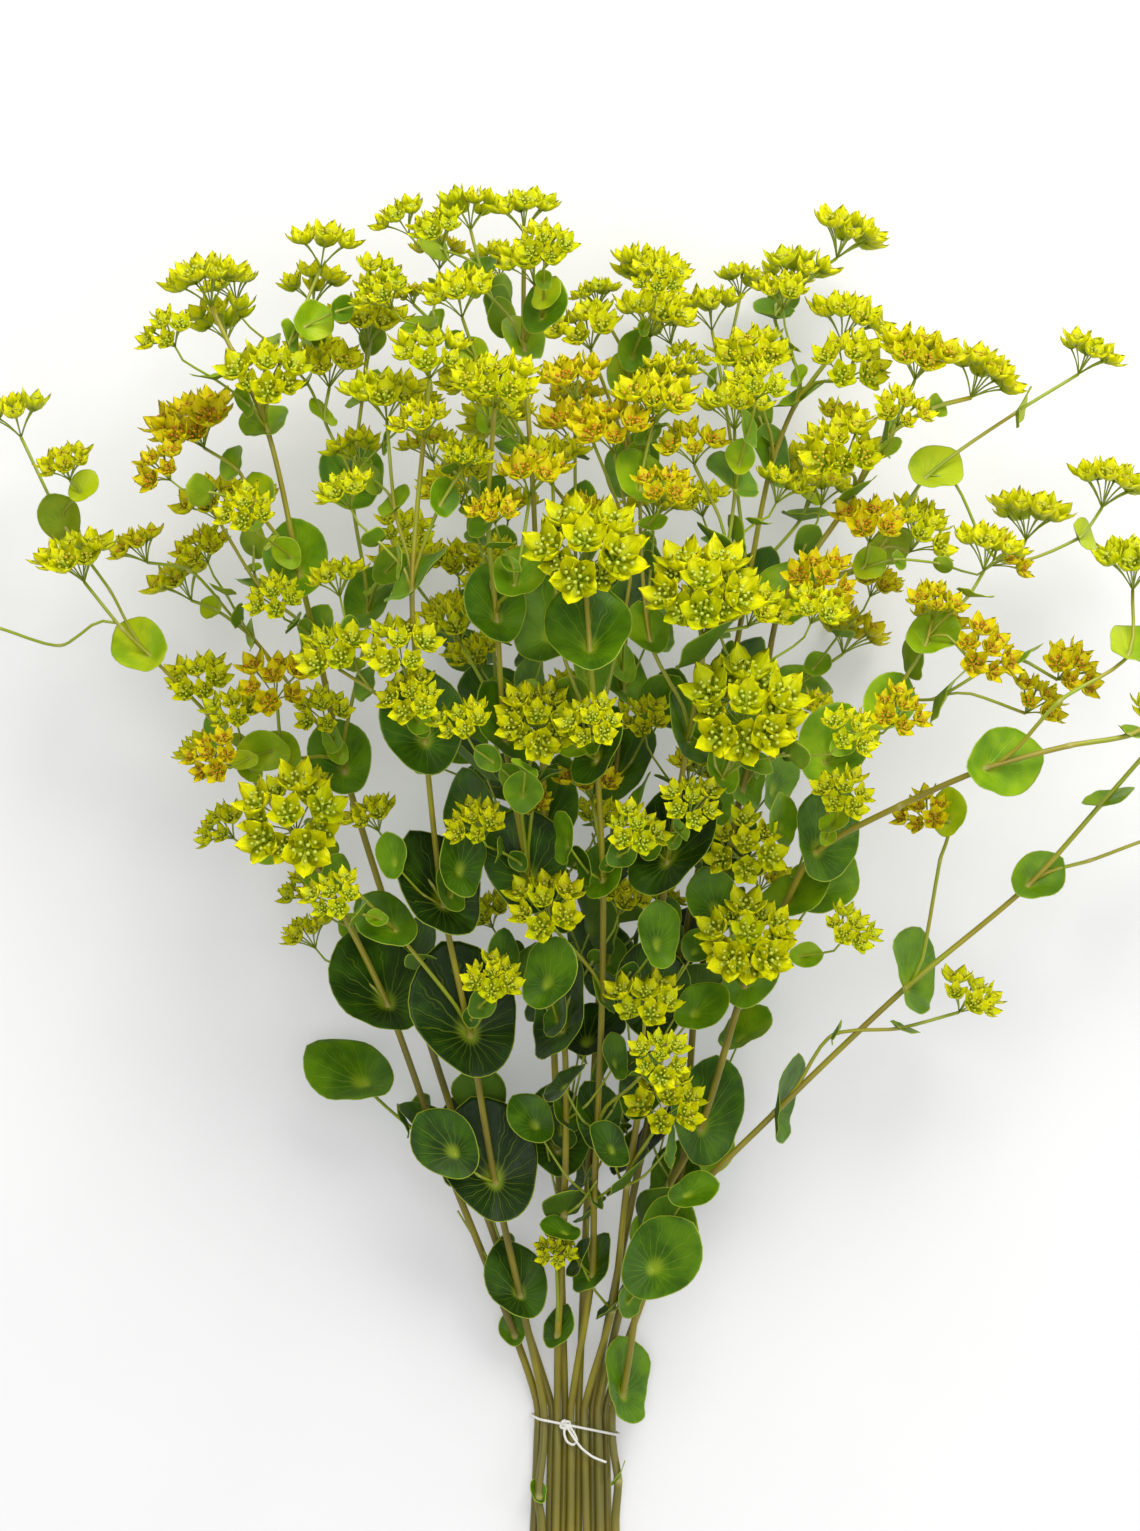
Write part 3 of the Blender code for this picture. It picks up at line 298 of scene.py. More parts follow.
        ((0, 5), [(800, 520, 40, 28, 40)], (810, 470, 0, 1.0, 0.1, 0.6)),
        ((0, 3), [(790, 690, 26, 34, 40)], (850, 630, 0, 1.0, 0.1, 0.8)),
    ]),
    "leafy_stem_12": ((3, 0), [
        (None, [(588, 1180, 12, 44, 60), (600, 980, 20, 48, -40), (610, 880, 26, 38, 50),
                (616, 780, 32, 46, 30), (622, 690, 38, 38, -50),
                (627, 600, 46, 42, 30), (632, 480, 60, 34, 30), (626, 385, 70, 24, 10)],
         (655, 310, 80, 1.0, 0.15, 0.1)),
        ((0, 7), [], (592, 280, 66, 1.0, 0.1, 0.1)),
        ((0, 7), [], (650, 268, 44, 1.0, 0.1, 0.1)),
        ((0, 6), [], (587, 325, 96, 0.95, 0.2, 0.3)),
        ((0, 6), [], (690, 345, 84, 0.95, 0.15, 0.2)),
        ((0, 5), [(540, 470, 42, 28, -30)], (500, 420, 0, 1.0, 0.1, 0.5)),
        ((0, 3), [(520, 790, 24, 44, -40), (470, 660, 22, 40, -60)],
         (410, 560, 0, 1.0, 0.1, 0.4)),
    ]),
}


def unit(vector):
    """The vector at a length of one."""
    return vector / np.linalg.norm(vector)


def place(pixel_x, pixel_y, height):
    """The point at a height in mm that the picture shows at a pixel."""
    z = height * MM
    reach = PIXEL * (EYE_LEVEL - z) / (EYE_LEVEL - PIXEL_LEVEL)
    low = PIXEL * (EYE_LEVEL - TIE_LEVEL) / (EYE_LEVEL - PIXEL_LEVEL)
    x = (PICTURE_MIDDLE[0] - TIE_PIXEL[0]) * low + (pixel_x - PICTURE_MIDDLE[0]) * reach
    y = (TIE_PIXEL[1] - PICTURE_MIDDLE[1]) * low - (pixel_y - PICTURE_MIDDLE[1]) * reach
    return np.array((x + BUNDLE_MIDDLE, y + TIE_Y, z))


def tangents(curve):
    """The direction of one or more curves at each of their points."""
    steps = np.gradient(curve, axis=-2)
    return steps / np.linalg.norm(steps, axis=-1)[..., None]


def bundle_points(column, layer, radius, rng):
    """A stem in the bundle: its cut end, flat on the table, and the two sides of the string."""
    x = (column - MIDDLE_COLUMN + LAYER_SHIFT * layer) * STEM_SPACING
    lift = radius * math.cos(math.pi / STEM_SIDES) + layer * (2 * STEM_RADIUS + GAP)
    tied = lift + 2 * STRING_RADIUS + 2 * GAP
    end = TIE_Y - STEM_BELOW_TIE + END_JITTER * rng.random()
    aside = END_SPREAD * x + END_SHIFT * (2 * rng.random() - 1)
    gathered = 0.3 * aside + 0.7 * x
    below = [np.array((aside, end, lift)), np.array((gathered, TIE_Y - FLAT_LENGTH, lift))]
    above = [np.array((x, TIE_Y - TIE_HALF, tied)), np.array((x, TIE_Y + TIE_HALF, tied))]
    return below, above


def head_axis(centre, start, face_up):
    """The way a head opens: along its branch, leaning to the top of the picture and upwards."""
    along = unit(centre - start)
    return unit((1 - face_up) * (0.6 * along + 0.5 * TOWARDS_TIPS)
                + face_up * np.array((0.1 * along[0], 0.25, 1.0)))


def build_paths(routes, column, layer, rng):
    """The curves of one stem, from its cut end and from each fork to the foot of each head."""
    paths = []
    for start, nodes, head in routes:
        centre = place(*head[:3])
        points = [place(*node[:3]) for node in nodes]
        if start is None:
            low = sum(node[1] > TIE_PIXEL[1] for node in nodes)
            radius = STEM_RADIUS * (1 - (1 - THINNEST_STEM) * rng.random())
            below, above = bundle_points(column, layer, radius, rng)
            points = below + points[:low] + above + points[low:]
            radii = (radius, STEM_TIP_RADIUS)
            node_at = [2 + i if i < low else 4 + i for i in range(len(nodes))]
        else:
            parent = paths[start[0]]
            k = parent["node_at"][start[1]]
            root = parent["curve"][k] + AXIL_RISE * unit(parent["curve"][k + 1] - parent["curve"][k])
            aim = (points[0] if points else centre) - root
            way = unit(FORK_LEAN * parent["ways"][k] + unit(aim))
            points = [root, root + way * min(FORK_REACH, 0.3 * np.linalg.norm(aim))] + points
            radii = (min(BRANCH_RADIUS, 0.8 * parent["radii"][k]), BRANCH_TIP_RADIUS)
            node_at = [2 + i for i in range(len(nodes))]
        axis = head_axis(centre, points[-1], head[4])
        if head[2] == 0:
            tips = head_points((np.zeros(3), axis, head[3], REST_SPIN, cup_count(head[3])))
            centre[2] = -tips[:, 2].min() + HEAD_RISE * RAY_LENGTH * head[3] * axis[2]
        foot = centre - HEAD_RISE * RAY_LENGTH * head[3] * axis
        if head[4] > STEEP_HEAD:
            points.append(foot - HEAD_NECK * RAY_LENGTH * head[3] * axis)
        curve = np.array(points + [foot])
        paths.append({
            "start": start, "curve": curve, "ways": tangents(curve),
            "radii": np.linspace(radii[0], radii[1], len(curve)),
            "node_at": node_at, "leaves": [node[3:] for node in nodes],
            "axis": axis, "head": head,
        })
    return paths


def blade_reach(angle):
    """How far a leaf's edge lies from the stem, as a share of its length: an egg made of a constant,
    the cosine of the angle and the cosine of twice the angle, with a bell curve for its point at 0."""
    near_tip = np.exp(-((np.abs((angle + np.pi) % (2 * np.pi) - np.pi)) / TIP_WIDTH) ** 2)
    return 0.415 + 0.15 * np.cos(angle) + 0.07 * np.cos(2 * angle) + 0.05 * near_tip


def blade_points(leaf, angles, share):
    """Points on a leaf's upper side, at angles round the stem and a share of the way to its edge."""
    reach = leaf["length"] * blade_reach(angles) * share
    rise = leaf["cup"] * reach * (1 + LEAF_WAVE * np.sin(3 * angles + leaf["wave"]))
    return (leaf["at"] + np.outer(reach * np.cos(angles), leaf["along"])
            + np.outer(reach * np.sin(angles), leaf["side"]) + np.outer(rise, leaf["up"]))


def make_leaf(at, way, length, turn, tilt, wave):
    """A leaf pierced by a stem at a point: turned about the stem and tilted away from it."""
    level = unit(np.array((0, 0, 1.0)) - way[2] * way)
    lean = -math.cos(turn) * level + math.sin(turn) * np.cross(way, level)
    along = math.cos(tilt) * way + math.sin(tilt) * lean
    up = math.sin(tilt) * way - math.cos(tilt) * lean
    return {"at": at, "along": along, "up": up, "side": np.cross(up, along), "length": length,
            "cup": LEAF_CUP, "wave": wave, "way": way}


def leaf_rim(leaf):
    """The lower rim of a leaf's blade."""
    corners = SMALL_LEAF_CORNERS if leaf["length"] < SMALL_LEAF else LEAF_CORNERS
    return blade_points(leaf, np.radians(corners), 1.0) - BLADE_THICKNESS * leaf["up"]


def clears_stem(leaf, tube, head):
    """Whether a leaf's blade stays off the stem that pierces it, past its root, and off its head."""
    arms = tube[:, :3] - leaf["at"]
    across = np.hypot(arms @ leaf["along"], arms @ leaf["side"])
    angle = np.arctan2(arms @ leaf["side"], arms @ leaf["along"])
    rise = leaf["cup"] * across * (1 + LEAF_WAVE * np.sin(3 * angle + leaf["wave"]))
    over = np.sign(arms @ leaf["way"]) * (arms @ leaf["up"] - rise) - STEM_TOUCH * tube[:, 3]
    past_root = np.linalg.norm(arms, axis=1) > LEAF_ROOT * tube[:, 3]
    near = past_root & (across < BLADE_MARGIN * leaf["length"] * blade_reach(angle))
    balls = leaf_balls(leaf)
    gaps = np.linalg.norm(balls[:, None, :3] - head[None, :, :3], axis=2) - STEM_TOUCH * head[:, 3]
    return over[near].min(initial=1.0) > 0 and gaps.min() > 0


def leaf_balls(leaf):
    """Balls that cover a leaf's blade, for finding what it would cross."""
    angles = np.radians(np.arange(0, 360, BALL_TURN))
    inner, middle, rim = BALL_RINGS
    points = np.vstack((blade_points(leaf, angles[::2], inner), blade_points(leaf, angles, middle),
                        blade_points(leaf, angles, rim)))
    radius = BALL_SHARE * leaf["length"] + BALL_LEAST
    return np.column_stack((points, np.full(len(points), radius)))


def cup_count(size):
    """How many cups of bracts a head of a size has."""
    return 3 if size < FOUR_CUPS else 4 if size < FIVE_CUPS else 5


def cups_of(foot, axis, size, spin, count):
    """The foot, the axis and the outward direction of each bract cup of a head."""
    side = unit(np.cross(axis, (0.3, 0.1, 1.0)))
    over = np.cross(axis, side)
    cups = []
    for i in range(count):
        angle = spin + 2 * math.pi * i / count
        out = math.cos(angle) * side + math.sin(angle) * over
        lean = math.radians(CUP_LEANS[i % 2])
        ray = math.cos(lean) * axis + math.sin(lean) * out
        length = RAY_LENGTH * size * (1.0 if i % 2 else LONG_RAY)
        cups.append((foot + length * ray, unit(ray + 0.5 * axis), out))
    return cups


def star_points(base, way, out, size):
    """The rim of a cup: bract tips with lower notches between them."""
    out = unit(out - (out @ way) * way)
    side = np.cross(way, out)
    points = []
    for k in range(2 * BRACTS):
        angle = math.pi * (k + 0.5) / BRACTS
        wide = size * CUP_RADIUS * (NOTCH_REACH if k % 2 else 1.0)
        high = size * CUP_DEPTH * (NOTCH_RISE if k % 2 else 1.0)
        points.append(base + high * way + wide * (math.cos(angle) * out + math.sin(angle) * side))
    return points


def head_points(umbel):
    """All rim points of a head's cups."""
    return np.vstack([star_points(*cup, umbel[2]) for cup in cups_of(*umbel)])


def head_balls(umbel):
    """Balls that cover a head's cups and rays."""
    foot, size = umbel[0], umbel[2]
    rows = []
    for base, way, _ in cups_of(*umbel):
        rows.append((*(base + CUP_BALL_LEVEL * CUP_DEPTH * size * way), CUP_BALL_WIDTH * CUP_RADIUS * size))
        rows.append((*(0.5 * (foot + base)), RAY_BALL_WIDTH * RAY_RADIUS))
    return np.array(rows)


def settle(candidates, balls_of, points_of, others, at, reach, suits=None):
    """The first candidate clear of the others and of the table, or else the clearest one."""
    near = others[np.linalg.norm(others[:, :3] - at, axis=1) - others[:, 3] < reach]
    best, most = None, -1.0
    for candidate in candidates:
        if suits is not None and not suits(candidate):
            continue
        balls = balls_of(candidate)
        gaps = np.linalg.norm(balls[:, None, :3] - near[None, :, :3], axis=2)
        gap = float((gaps - balls[:, None, 3] - near[None, :, 3]).min(initial=1.0))
        floor = float(points_of(candidate)[:, 2].min()) - GAP
        gap = min(gap, 2 * floor if floor < 0 else gap)
        if gap > most:
            best, most = candidate, gap
        if gap > GAP:
            break
    return best, most


def tube_balls(path):
    """Balls along a path, close enough together to stand for its tube."""
    rows = []
    for a, b, r, s in zip(path["curve"], path["curve"][1:], path["radii"], path["radii"][1:]):
        for share in np.arange(0, 1, BALL_STEP / np.linalg.norm(b - a)):
            rows.append((*(a + share * (b - a)), r + share * (s - r) + GAP))
    return np.array(rows)


def settle_heads(stems, tubes, placed, rng):
    """Turns each head, or makes it smaller, until its cups are clear of what lies near it."""
    for name, paths in stems.items():
        for p, path in enumerate(paths):
            others = np.vstack([t for key, t in tubes.items() if key != (name, p)] + placed)
            foot, axis, size = path["curve"][-1], path["axis"], path["head"][3]
            count = cup_count(size)
            first_spin = ANY_TURN * rng.random()
            candidates = [(foot, axis, size * scale, first_spin + HEAD_TURN * turn, count)
                          for scale in HEAD_SCALES for turn in range(HEAD_TURNS)]
            if path["head"][2] == 0:
                candidates = [(foot, axis, size, REST_SPIN, count)]
            path["umbel"], _ = settle(candidates, head_balls, head_points, others, foot, HEAD_NEAR)
            placed.append(head_balls(path["umbel"]))


def settle_leaves(stems, tubes, placed, rng):
    """Turns, tilts or shortens each leaf until its blade is clear of what lies near it, the
    longest leaves first."""
    wanted = sorted(((*leaf, name, p, k) for name, paths in stems.items()
                     for p, path in enumerate(paths) for k, leaf in enumerate(path["leaves"])),
                    reverse=True)
    for length, turn, name, p, k in wanted:
        path = stems[name][p]
        path["leaves"][k] = None
        if length == 0:
            continue
        wave = ANY_TURN * rng.random()
        at = path["node_at"][k]
        own = {(name, p)} | {(name, q) for q, other in enumerate(stems[name])
                             if other["start"] == (p, k)}
        others = np.vstack([t for key, t in tubes.items() if key not in own] + placed)
        candidates = [
            make_leaf(path["curve"][at], path["ways"][at], length * MM * scale,
                      math.radians(turn + swing), math.radians(tilt), wave)
            for scale in LEAF_SCALES for swing in LEAF_SWINGS for tilt in LEAF_TILTS]
        own_tube, own_head = tubes[(name, p)], head_balls(path["umbel"])
        leaf, gap = settle(candidates, leaf_balls, leaf_rim, others, path["curve"][at],
                           length * MM, lambda leaf: clears_stem(leaf, own_tube, own_head))
        if gap > -LEAF_PRESS:
            path["leaves"][k] = leaf
            placed.append(leaf_balls(leaf))


def arrange():
    """Every stem with its leaves and heads turned, tilted or made smaller until they are clear."""
    rng = np.random.default_rng(LAYOUT_SEED)
    stems = {name: build_paths(routes, *slot, rng) for name, (slot, routes) in STEMS.items()}
    tubes = {(name, p): tube_balls(path)
             for name, paths in stems.items() for p, path in enumerate(paths)}
    placed = []
    settle_heads(stems, tubes, placed, rng)
    settle_leaves(stems, tubes, placed, rng)
    return stems


def string_level(x):
    """Where the slanting turn of string crosses the bundle."""
    return TIE_Y + STRING_SLANT * (BUNDLE_MIDDLE - x)


def string_turn():
    """The turn of string: a taut loop a little way outside the four corner stems."""
    corners = []
    for column, layer in ((0, 0), (LAST_COLUMN, 0), (LAST_COLUMN, 1), (0, 1)):
        _, above = bundle_points(column, layer, STEM_RADIUS, np.random.default_rng(0))
        corners.append(above[0][[0, 2]])
    points = []
    for step in range(TURN_POINTS):
        angle = 2 * math.pi * step / TURN_POINTS
        way = np.array((math.cos(angle), math.sin(angle)))
        corner = max(corners, key=lambda c: c @ way)
        x, z = corner + (STEM_RADIUS + GAP + STRING_RADIUS) * way
        points.append((x, string_level(x), max(z, STRING_RADIUS + GAP)))
    return points


# Side shoots: thinner branches between those of the solids, where the bunch is thickest
CROWN_MIDDLE = place(560, 620, 110)[:2]
CROWN_REACH = np.array((0.140, 0.210))
LOW_MIDDLE = place(590, 1010, 40)[:2]
LOW_REACH = np.array((0.075, 0.150))
SHOOT_LENGTHS = (0.042, 0.030, 0.056, 0.072)
SHOOT_SIZES = (0.72, 0.60, 0.50)
SHOOT_TURNS = 9
SHOOT_RADIUS = 0.0007
SHOOT_TIP_RADIUS = 0.00045
SHOOT_LEAF = 0.022
LOW_LEAF = 0.038
LOW_SHOOT_LENGTH = 0.030
LOW_SHOOTS = 2
SHOOT_CUPS = 3
SHOOT_SPLAY = 0.75
SHOOT_UP = np.array((0, 0.35, 0.3))
SHOOT_NEAR = 0.1
SHOOT_BALLS = (0.4, 1.0, 0.08)
SHOOT_SCALES = (1.0, 0.84, 0.68, 0.52)
SHOOT_SWINGS = (0, 0.7, -0.7, 1.5, -1.5, 2.3, 3.1)
SHOOT_TILTS = (40, 58)
SHOOT_PRESS = 0.002


def smooth_step(value, low, high):
    """0 below low, 1 above high and an even S between them."""
    share = np.clip((value - low) / (high - low), 0, 1)
    return share * share * (3 - 2 * share)


def shoot_balls(shoot):
    """Balls that cover a side shoot, past its root, and its head."""
    root, umbel = shoot
    shares = np.arange(*SHOOT_BALLS)[:, None]
    line = root + shares * (umbel[0] - root)
    balls = np.column_stack((line, np.full(len(line), 2 * SHOOT_RADIUS)))
    return np.vstack((balls, head_balls(umbel)))


def shoot_from(root, way, rng):
    """Side shoots that could leave a node, each a root and a head: the larger heads come first."""
    first = 2 * math.pi * rng.random()
    level = unit(np.array((0, 0, 1.0)) - way[2] * way)
    side = np.cross(way, level)
    found = []
    for size in SHOOT_SIZES:
        for length in SHOOT_LENGTHS:
            for turn in range(SHOOT_TURNS):
                angle = first + 2 * math.pi * turn / SHOOT_TURNS
                aside = math.cos(angle) * level + math.sin(angle) * side
                foot = root + length * unit(way + SHOOT_SPLAY * aside)
                axis = unit(0.5 * unit(foot - root) + SHOOT_UP)
                found.append((root, (foot, axis, size, ANY_TURN * rng.random(), SHOOT_CUPS)))
    return found


def in_box(points):
    """Whether points lie inside the box of the solids."""
    return bool((points > cad_box[0]).all() and (points < cad_box[1]).all())


def grow_shoots(stems):
    """Adds a shoot at each node of the crown where one fits clear of all that is there already:
    a bowed line from the node to the head's foot, with a leaf or two on its way. Lower down the
    shoots are short and bear leaves alone."""
    rng = np.random.default_rng(SHOOT_SEED)
    paths = [path for own in stems.values() for path in own]
    taken = [tube_balls(path) for path in paths] + [head_balls(path["umbel"]) for path in paths]
    taken += [leaf_balls(leaf) for path in paths for leaf in path["leaves"] if leaf is not None]
    for own in stems.values():
        for path in list(own):
            for at in path["node_at"]:
                root, way = path["curve"][at], path["ways"][at]
                others = np.vstack(taken)
                if np.linalg.norm((root[:2] - LOW_MIDDLE) / LOW_REACH) < 1:
                    for _ in range(LOW_SHOOTS):
                        own.append(low_path(root, way, others, rng))
                        taken += [leaf_balls(leaf) for leaf in own[-1]["leaves"] if leaf is not None]
                        others = np.vstack(taken)
                if np.linalg.norm((root[:2] - CROWN_MIDDLE) / CROWN_REACH) > 1:
                    continue
                shoot, gap = settle(shoot_from(root, way, rng), shoot_balls,
                                    lambda shoot: head_points(shoot[1]), others, root, SHOOT_NEAR,
                                    lambda shoot: in_box(head_points(shoot[1])))
                if gap < GAP:
                    continue
                own.append(shoot_path(shoot, way, others, path["head"][5], rng))
                taken += [tube_balls(own[-1])[3:], head_balls(own[-1]["umbel"])]
                taken += [leaf_balls(leaf) for leaf in own[-1]["leaves"] if leaf is not None]


def settled_leaves(curve, ways, rows, others):
    """Leaves at points of a curve, from rows of (point, length, turn, wave), turned or shortened
    until they are clear. The one that isn't is left out."""
    leaves = []
    for at, length, turn, wave in rows:
        candidates = [
            make_leaf(curve[at], ways[at], length * scale, turn + swing, math.radians(tilt), wave)
            for scale in SHOOT_SCALES for swing in SHOOT_SWINGS for tilt in SHOOT_TILTS]
        leaf, clear = settle(candidates, leaf_balls, leaf_rim, others, curve[at], length)
        leaves.append(leaf if clear > -SHOOT_PRESS else None)
        if leaves[-1] is not None:
            others = np.vstack((others, leaf_balls(leaf)))
    return leaves


def shoot_path(shoot, way, others, ripe, rng):
    """A shoot as a path like the solids' own: it leaves along the stem, bows to its head's foot and
    bears two leaves."""
    root, umbel = shoot
    foot, axis, size = umbel[:3]
    gap = np.linalg.norm(foot - root)
    curve = np.array((root, root + 0.25 * gap * unit(0.8 * way + unit(foot - root)),
                      root + 0.55 * (foot - root) + 0.05 * gap * way, foot - 0.12 * gap * axis, foot))
    ways = tangents(curve)
    rows = [(at, share * SHOOT_LEAF * (0.8 + 0.4 * rng.random()), ANY_TURN * rng.random(),
             ANY_TURN * rng.random())
            for at, share in ((1, 1.0), (2, 0.75))]
    return {
        "start": "shoot", "curve": curve, "ways": ways, "node_at": [1, 2],
        "leaves": settled_leaves(curve, ways, rows, others),
        "radii": np.linspace(SHOOT_RADIUS, SHOOT_TIP_RADIUS, len(curve)),
        "head": (0, 0, 0, size, 0, ripe), "umbel": umbel,
    }


def low_path(root, way, others, rng):
    """A short shoot low in the bunch, a bowed line with a leaf half way and one at its end."""
    level = unit(np.array((0, 0, 1.0)) - way[2] * way)
    angle = 2 * math.pi * rng.random()
    aside = math.cos(angle) * level + math.sin(angle) * np.cross(way, level)
    reach = LOW_SHOOT_LENGTH * (0.6 + 0.8 * rng.random())
    curve = np.array([root + reach * (share * way + 0.7 * share ** 0.7 * aside)
                      for share in (0, 0.3, 0.65, 1)])
    curve[:, 2] = np.maximum(curve[:, 2], 2 * SHOOT_RADIUS)
    ways = tangents(curve)
    rows = [(at, LOW_LEAF * (0.75 + 0.5 * rng.random()), 2 * rng.random() - 1, ANY_TURN * rng.random())
            for at in (1, 3)]
    return {
        "start": "shoot", "curve": curve, "ways": ways, "node_at": [1, 3],
        "leaves": settled_leaves(curve, ways, rows, others),
        "radii": np.linspace(SHOOT_RADIUS, SHOOT_TIP_RADIUS, len(curve)),
        "head": (0, 0, 0, 0, 0, 0), "umbel": None,
    }


# Finer detail of the pieces
TRUNK_AROUND = 10
BRANCH_AROUND = 7
RAY_AROUND = 4
RAY_POINTS = 5
RAY_BOW = 0.07
RAY_THIN = 0.00036
RAY_FLARE = 0.0002
RAY_ZERO = np.array((0.31, 0.4, 0.86))
STALK_STEP = 0.006
STALK_POINTS = 6
STALK_PULL = 0.8
RIBS = 14
RIB_SCALE = RIBS / (2 * math.pi)
RIB_LENGTH = 0.01515
GRAIN_STRETCH = 1 / (RIB_SCALE * RIB_LENGTH)
NODE_SWELL = 0.16
NODE_WIDTH = 0.0016
HOLLOW_SHARE = 0.62
HOLLOW_DEPTH = 0.006
LEAF_AROUND = 32
LEAF_BACK = (0.03, 0.4, 0.8, 1.0)
LEAF_FACE = (1.0, 0.93, 0.76, 0.5, 0.25, 0.03)
LEAF_THICKNESS = 0.00035
LEAF_FLUTES = 7
LEAF_FLUTE_HEIGHT = 0.012
TIP_BEND = 0.10
# The bunch's core, narrow at the tie and wider towards the tips: leaves outside it get painted light, and
# those in it stay darker as painted shade
CORE_HALF = 0.03
CORE_SPREAD = 0.42
CORE_EDGE = (0.35, 0.95)
HIGH_LEAVES = (0.16, 0.52)
LARGE_LEAVES = (0.018, 0.046)
# Shares of a leaf's tone: yellower for growing high and for being small, lighter outside the core as
# painted light, a random share and an offset
YOUNG_HIGH = 0.42
YOUNG_SMALL = 0.28
OUTER_PAINTED_LIGHT = 0.34
YOUNG_CHANCE = 0.3
YOUNG_LEAST = 0.12
CUP_BRACTS = 5
BRACT_RINGS = (0.0, 0.15, 0.4, 0.75, 1.0)
BRACT_WIDTH = 0.0037
BRACT_THICKNESS = 0.00022
BRACT_CUPPING = 0.42
CUP_OPENING = (0.85, 0.25)
CUP_HEIGHT = (1.12, 0.12)
RAY_AGE = 0.4
RIPE_SPREAD = 0.25
MAIN_CUP = 1.0
SMALL_CUP = 0.86
BETWEEN_REACH = 0.9
MIDDLE_REACH = 0.98
FLORETS = 10
FLORET_AROUND = 5
FLORET_SPREAD = 0.56
FLORET_LEVEL = 0.62
FLORET_DOME = 0.2
FLORET_RADIUS = 0.00082
GOLDEN_ANGLE = 2.39996
TUBE_ZERO = np.array((0.6, -0.2, 0.77))
STRANDS = 3
STRAND_AROUND = 6
STRAND_SHARE = 0.54
HELIX_SHARE = 0.46
LOOP_POINTS = 13
LOOP_FLATNESS = 0.55
LOOP_TWIST = 0.0007
BOW_LIFT = np.array((0, 0, 0.0004))
TWIST_PITCH = 0.0028
STRING_STEP = 0.00035

# The string from its knot, in mm: the direction and width of the knot's loops, the bow and the end
KNOT_LOOPS = (((1, 0.5), 2.3), ((-0.6, 1), 2.1))
BOW = ((0.5, 0.5), (-0.5, -3.5), (0.8, -7.5), (3.6, -9.0), (5.2, -7.2), (4.0, -3.8), (1.4, 0.2))
LOOSE_END = ((0.0, 0.6, 0), (3.4, -5.0, 1.3), (7.5, -10.5, 1.0), (12.5, -14.5, 0.2), (18.5, -17.0, 0.0))


def close_rings(rings):
    """Faces of closed skins from rings (skin, ring, point): each point is joined to the next one of
    its ring and to the two beside them in the next ring, and both end rings are closed."""
    skins, count, around = rings.shape[:3]
    here = np.arange(skins * count * around).reshape(skins, count, around)
    after = np.roll(here, -1, axis=2)
    sides = np.stack((here[:, :-1], after[:, :-1], after[:, 1:], here[:, 1:]), axis=-1)
    return sides.reshape(-1, 4), np.vstack((here[:, 0, ::-1], here[:, -1]))


def add_piece(name, material, stands_for, grids, marks):
    """One piece from grids of rings, each with its marks: values at its points, kept by name."""
    points = []
    faces = []
    count = 0
    for rings in grids:
        sides, ends = close_rings(rings)
        faces += (sides + count).tolist() + (ends + count).tolist()
        points.append(rings.reshape(-1, 3))
        count += len(points[-1])
    points = np.vstack(points)
    points[:, 2] = np.maximum(points[:, 2], 0)
    mesh = bpy.data.meshes.new(name)
    mesh.from_pydata(points.tolist(), [], faces)
    for mark, values in marks.items():
        flat = np.vstack([np.broadcast_to(value, rings.shape).reshape(-1, 3)
                          for value, rings in zip(values, grids)])
        layer = mesh.attributes.new(mark, "FLOAT_VECTOR", "POINT")
        layer.data.foreach_set("vector", flat.astype(np.float32).ravel())
    mesh.materials.append(material)
    mesh.shade_smooth()
    piece = bpy.data.objects.new(name, mesh)
    bpy.context.scene.collection.objects.link(piece)
    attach(piece, "root")
    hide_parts(stands_for)
    return piece


def tube_rings(curves, radii, around, zero):
    """Rings round curves: at each point a circle of its radius, square to the curve, that starts
    at the zero direction made square to the curve."""
    ways = tangents(curves)
    first = zero - (ways @ zero)[..., None] * ways
    first /= np.linalg.norm(first, axis=-1)[..., None]
    second = np.cross(ways, first)
    angles = 2 * np.pi * np.arange(around) / around
    arms = (np.cos(angles)[:, None] * first[..., None, :]
            + np.sin(angles)[:, None] * second[..., None, :])
    return curves[..., None, :] + np.asarray(radii)[..., None, None] * arms


def along_path(curve, ways, where, at):
    """Points at distances along a path: between two of its points a cubic that leaves the first and
    reaches the second along the path's directions there."""
    k = np.clip(np.searchsorted(where, at, side="right") - 1, 0, len(curve) - 2)
    gap = (where[k + 1] - where[k])[:, None]
    u = (at - where[k])[:, None] / gap
    pull = STALK_PULL * gap
    return ((2 * u ** 3 - 3 * u ** 2 + 1) * curve[k] + (u ** 3 - 2 * u ** 2 + u) * pull * ways[k]
            + (3 * u ** 2 - 2 * u ** 3) * curve[k + 1] + (u ** 3 - u ** 2) * pull * ways[k + 1])


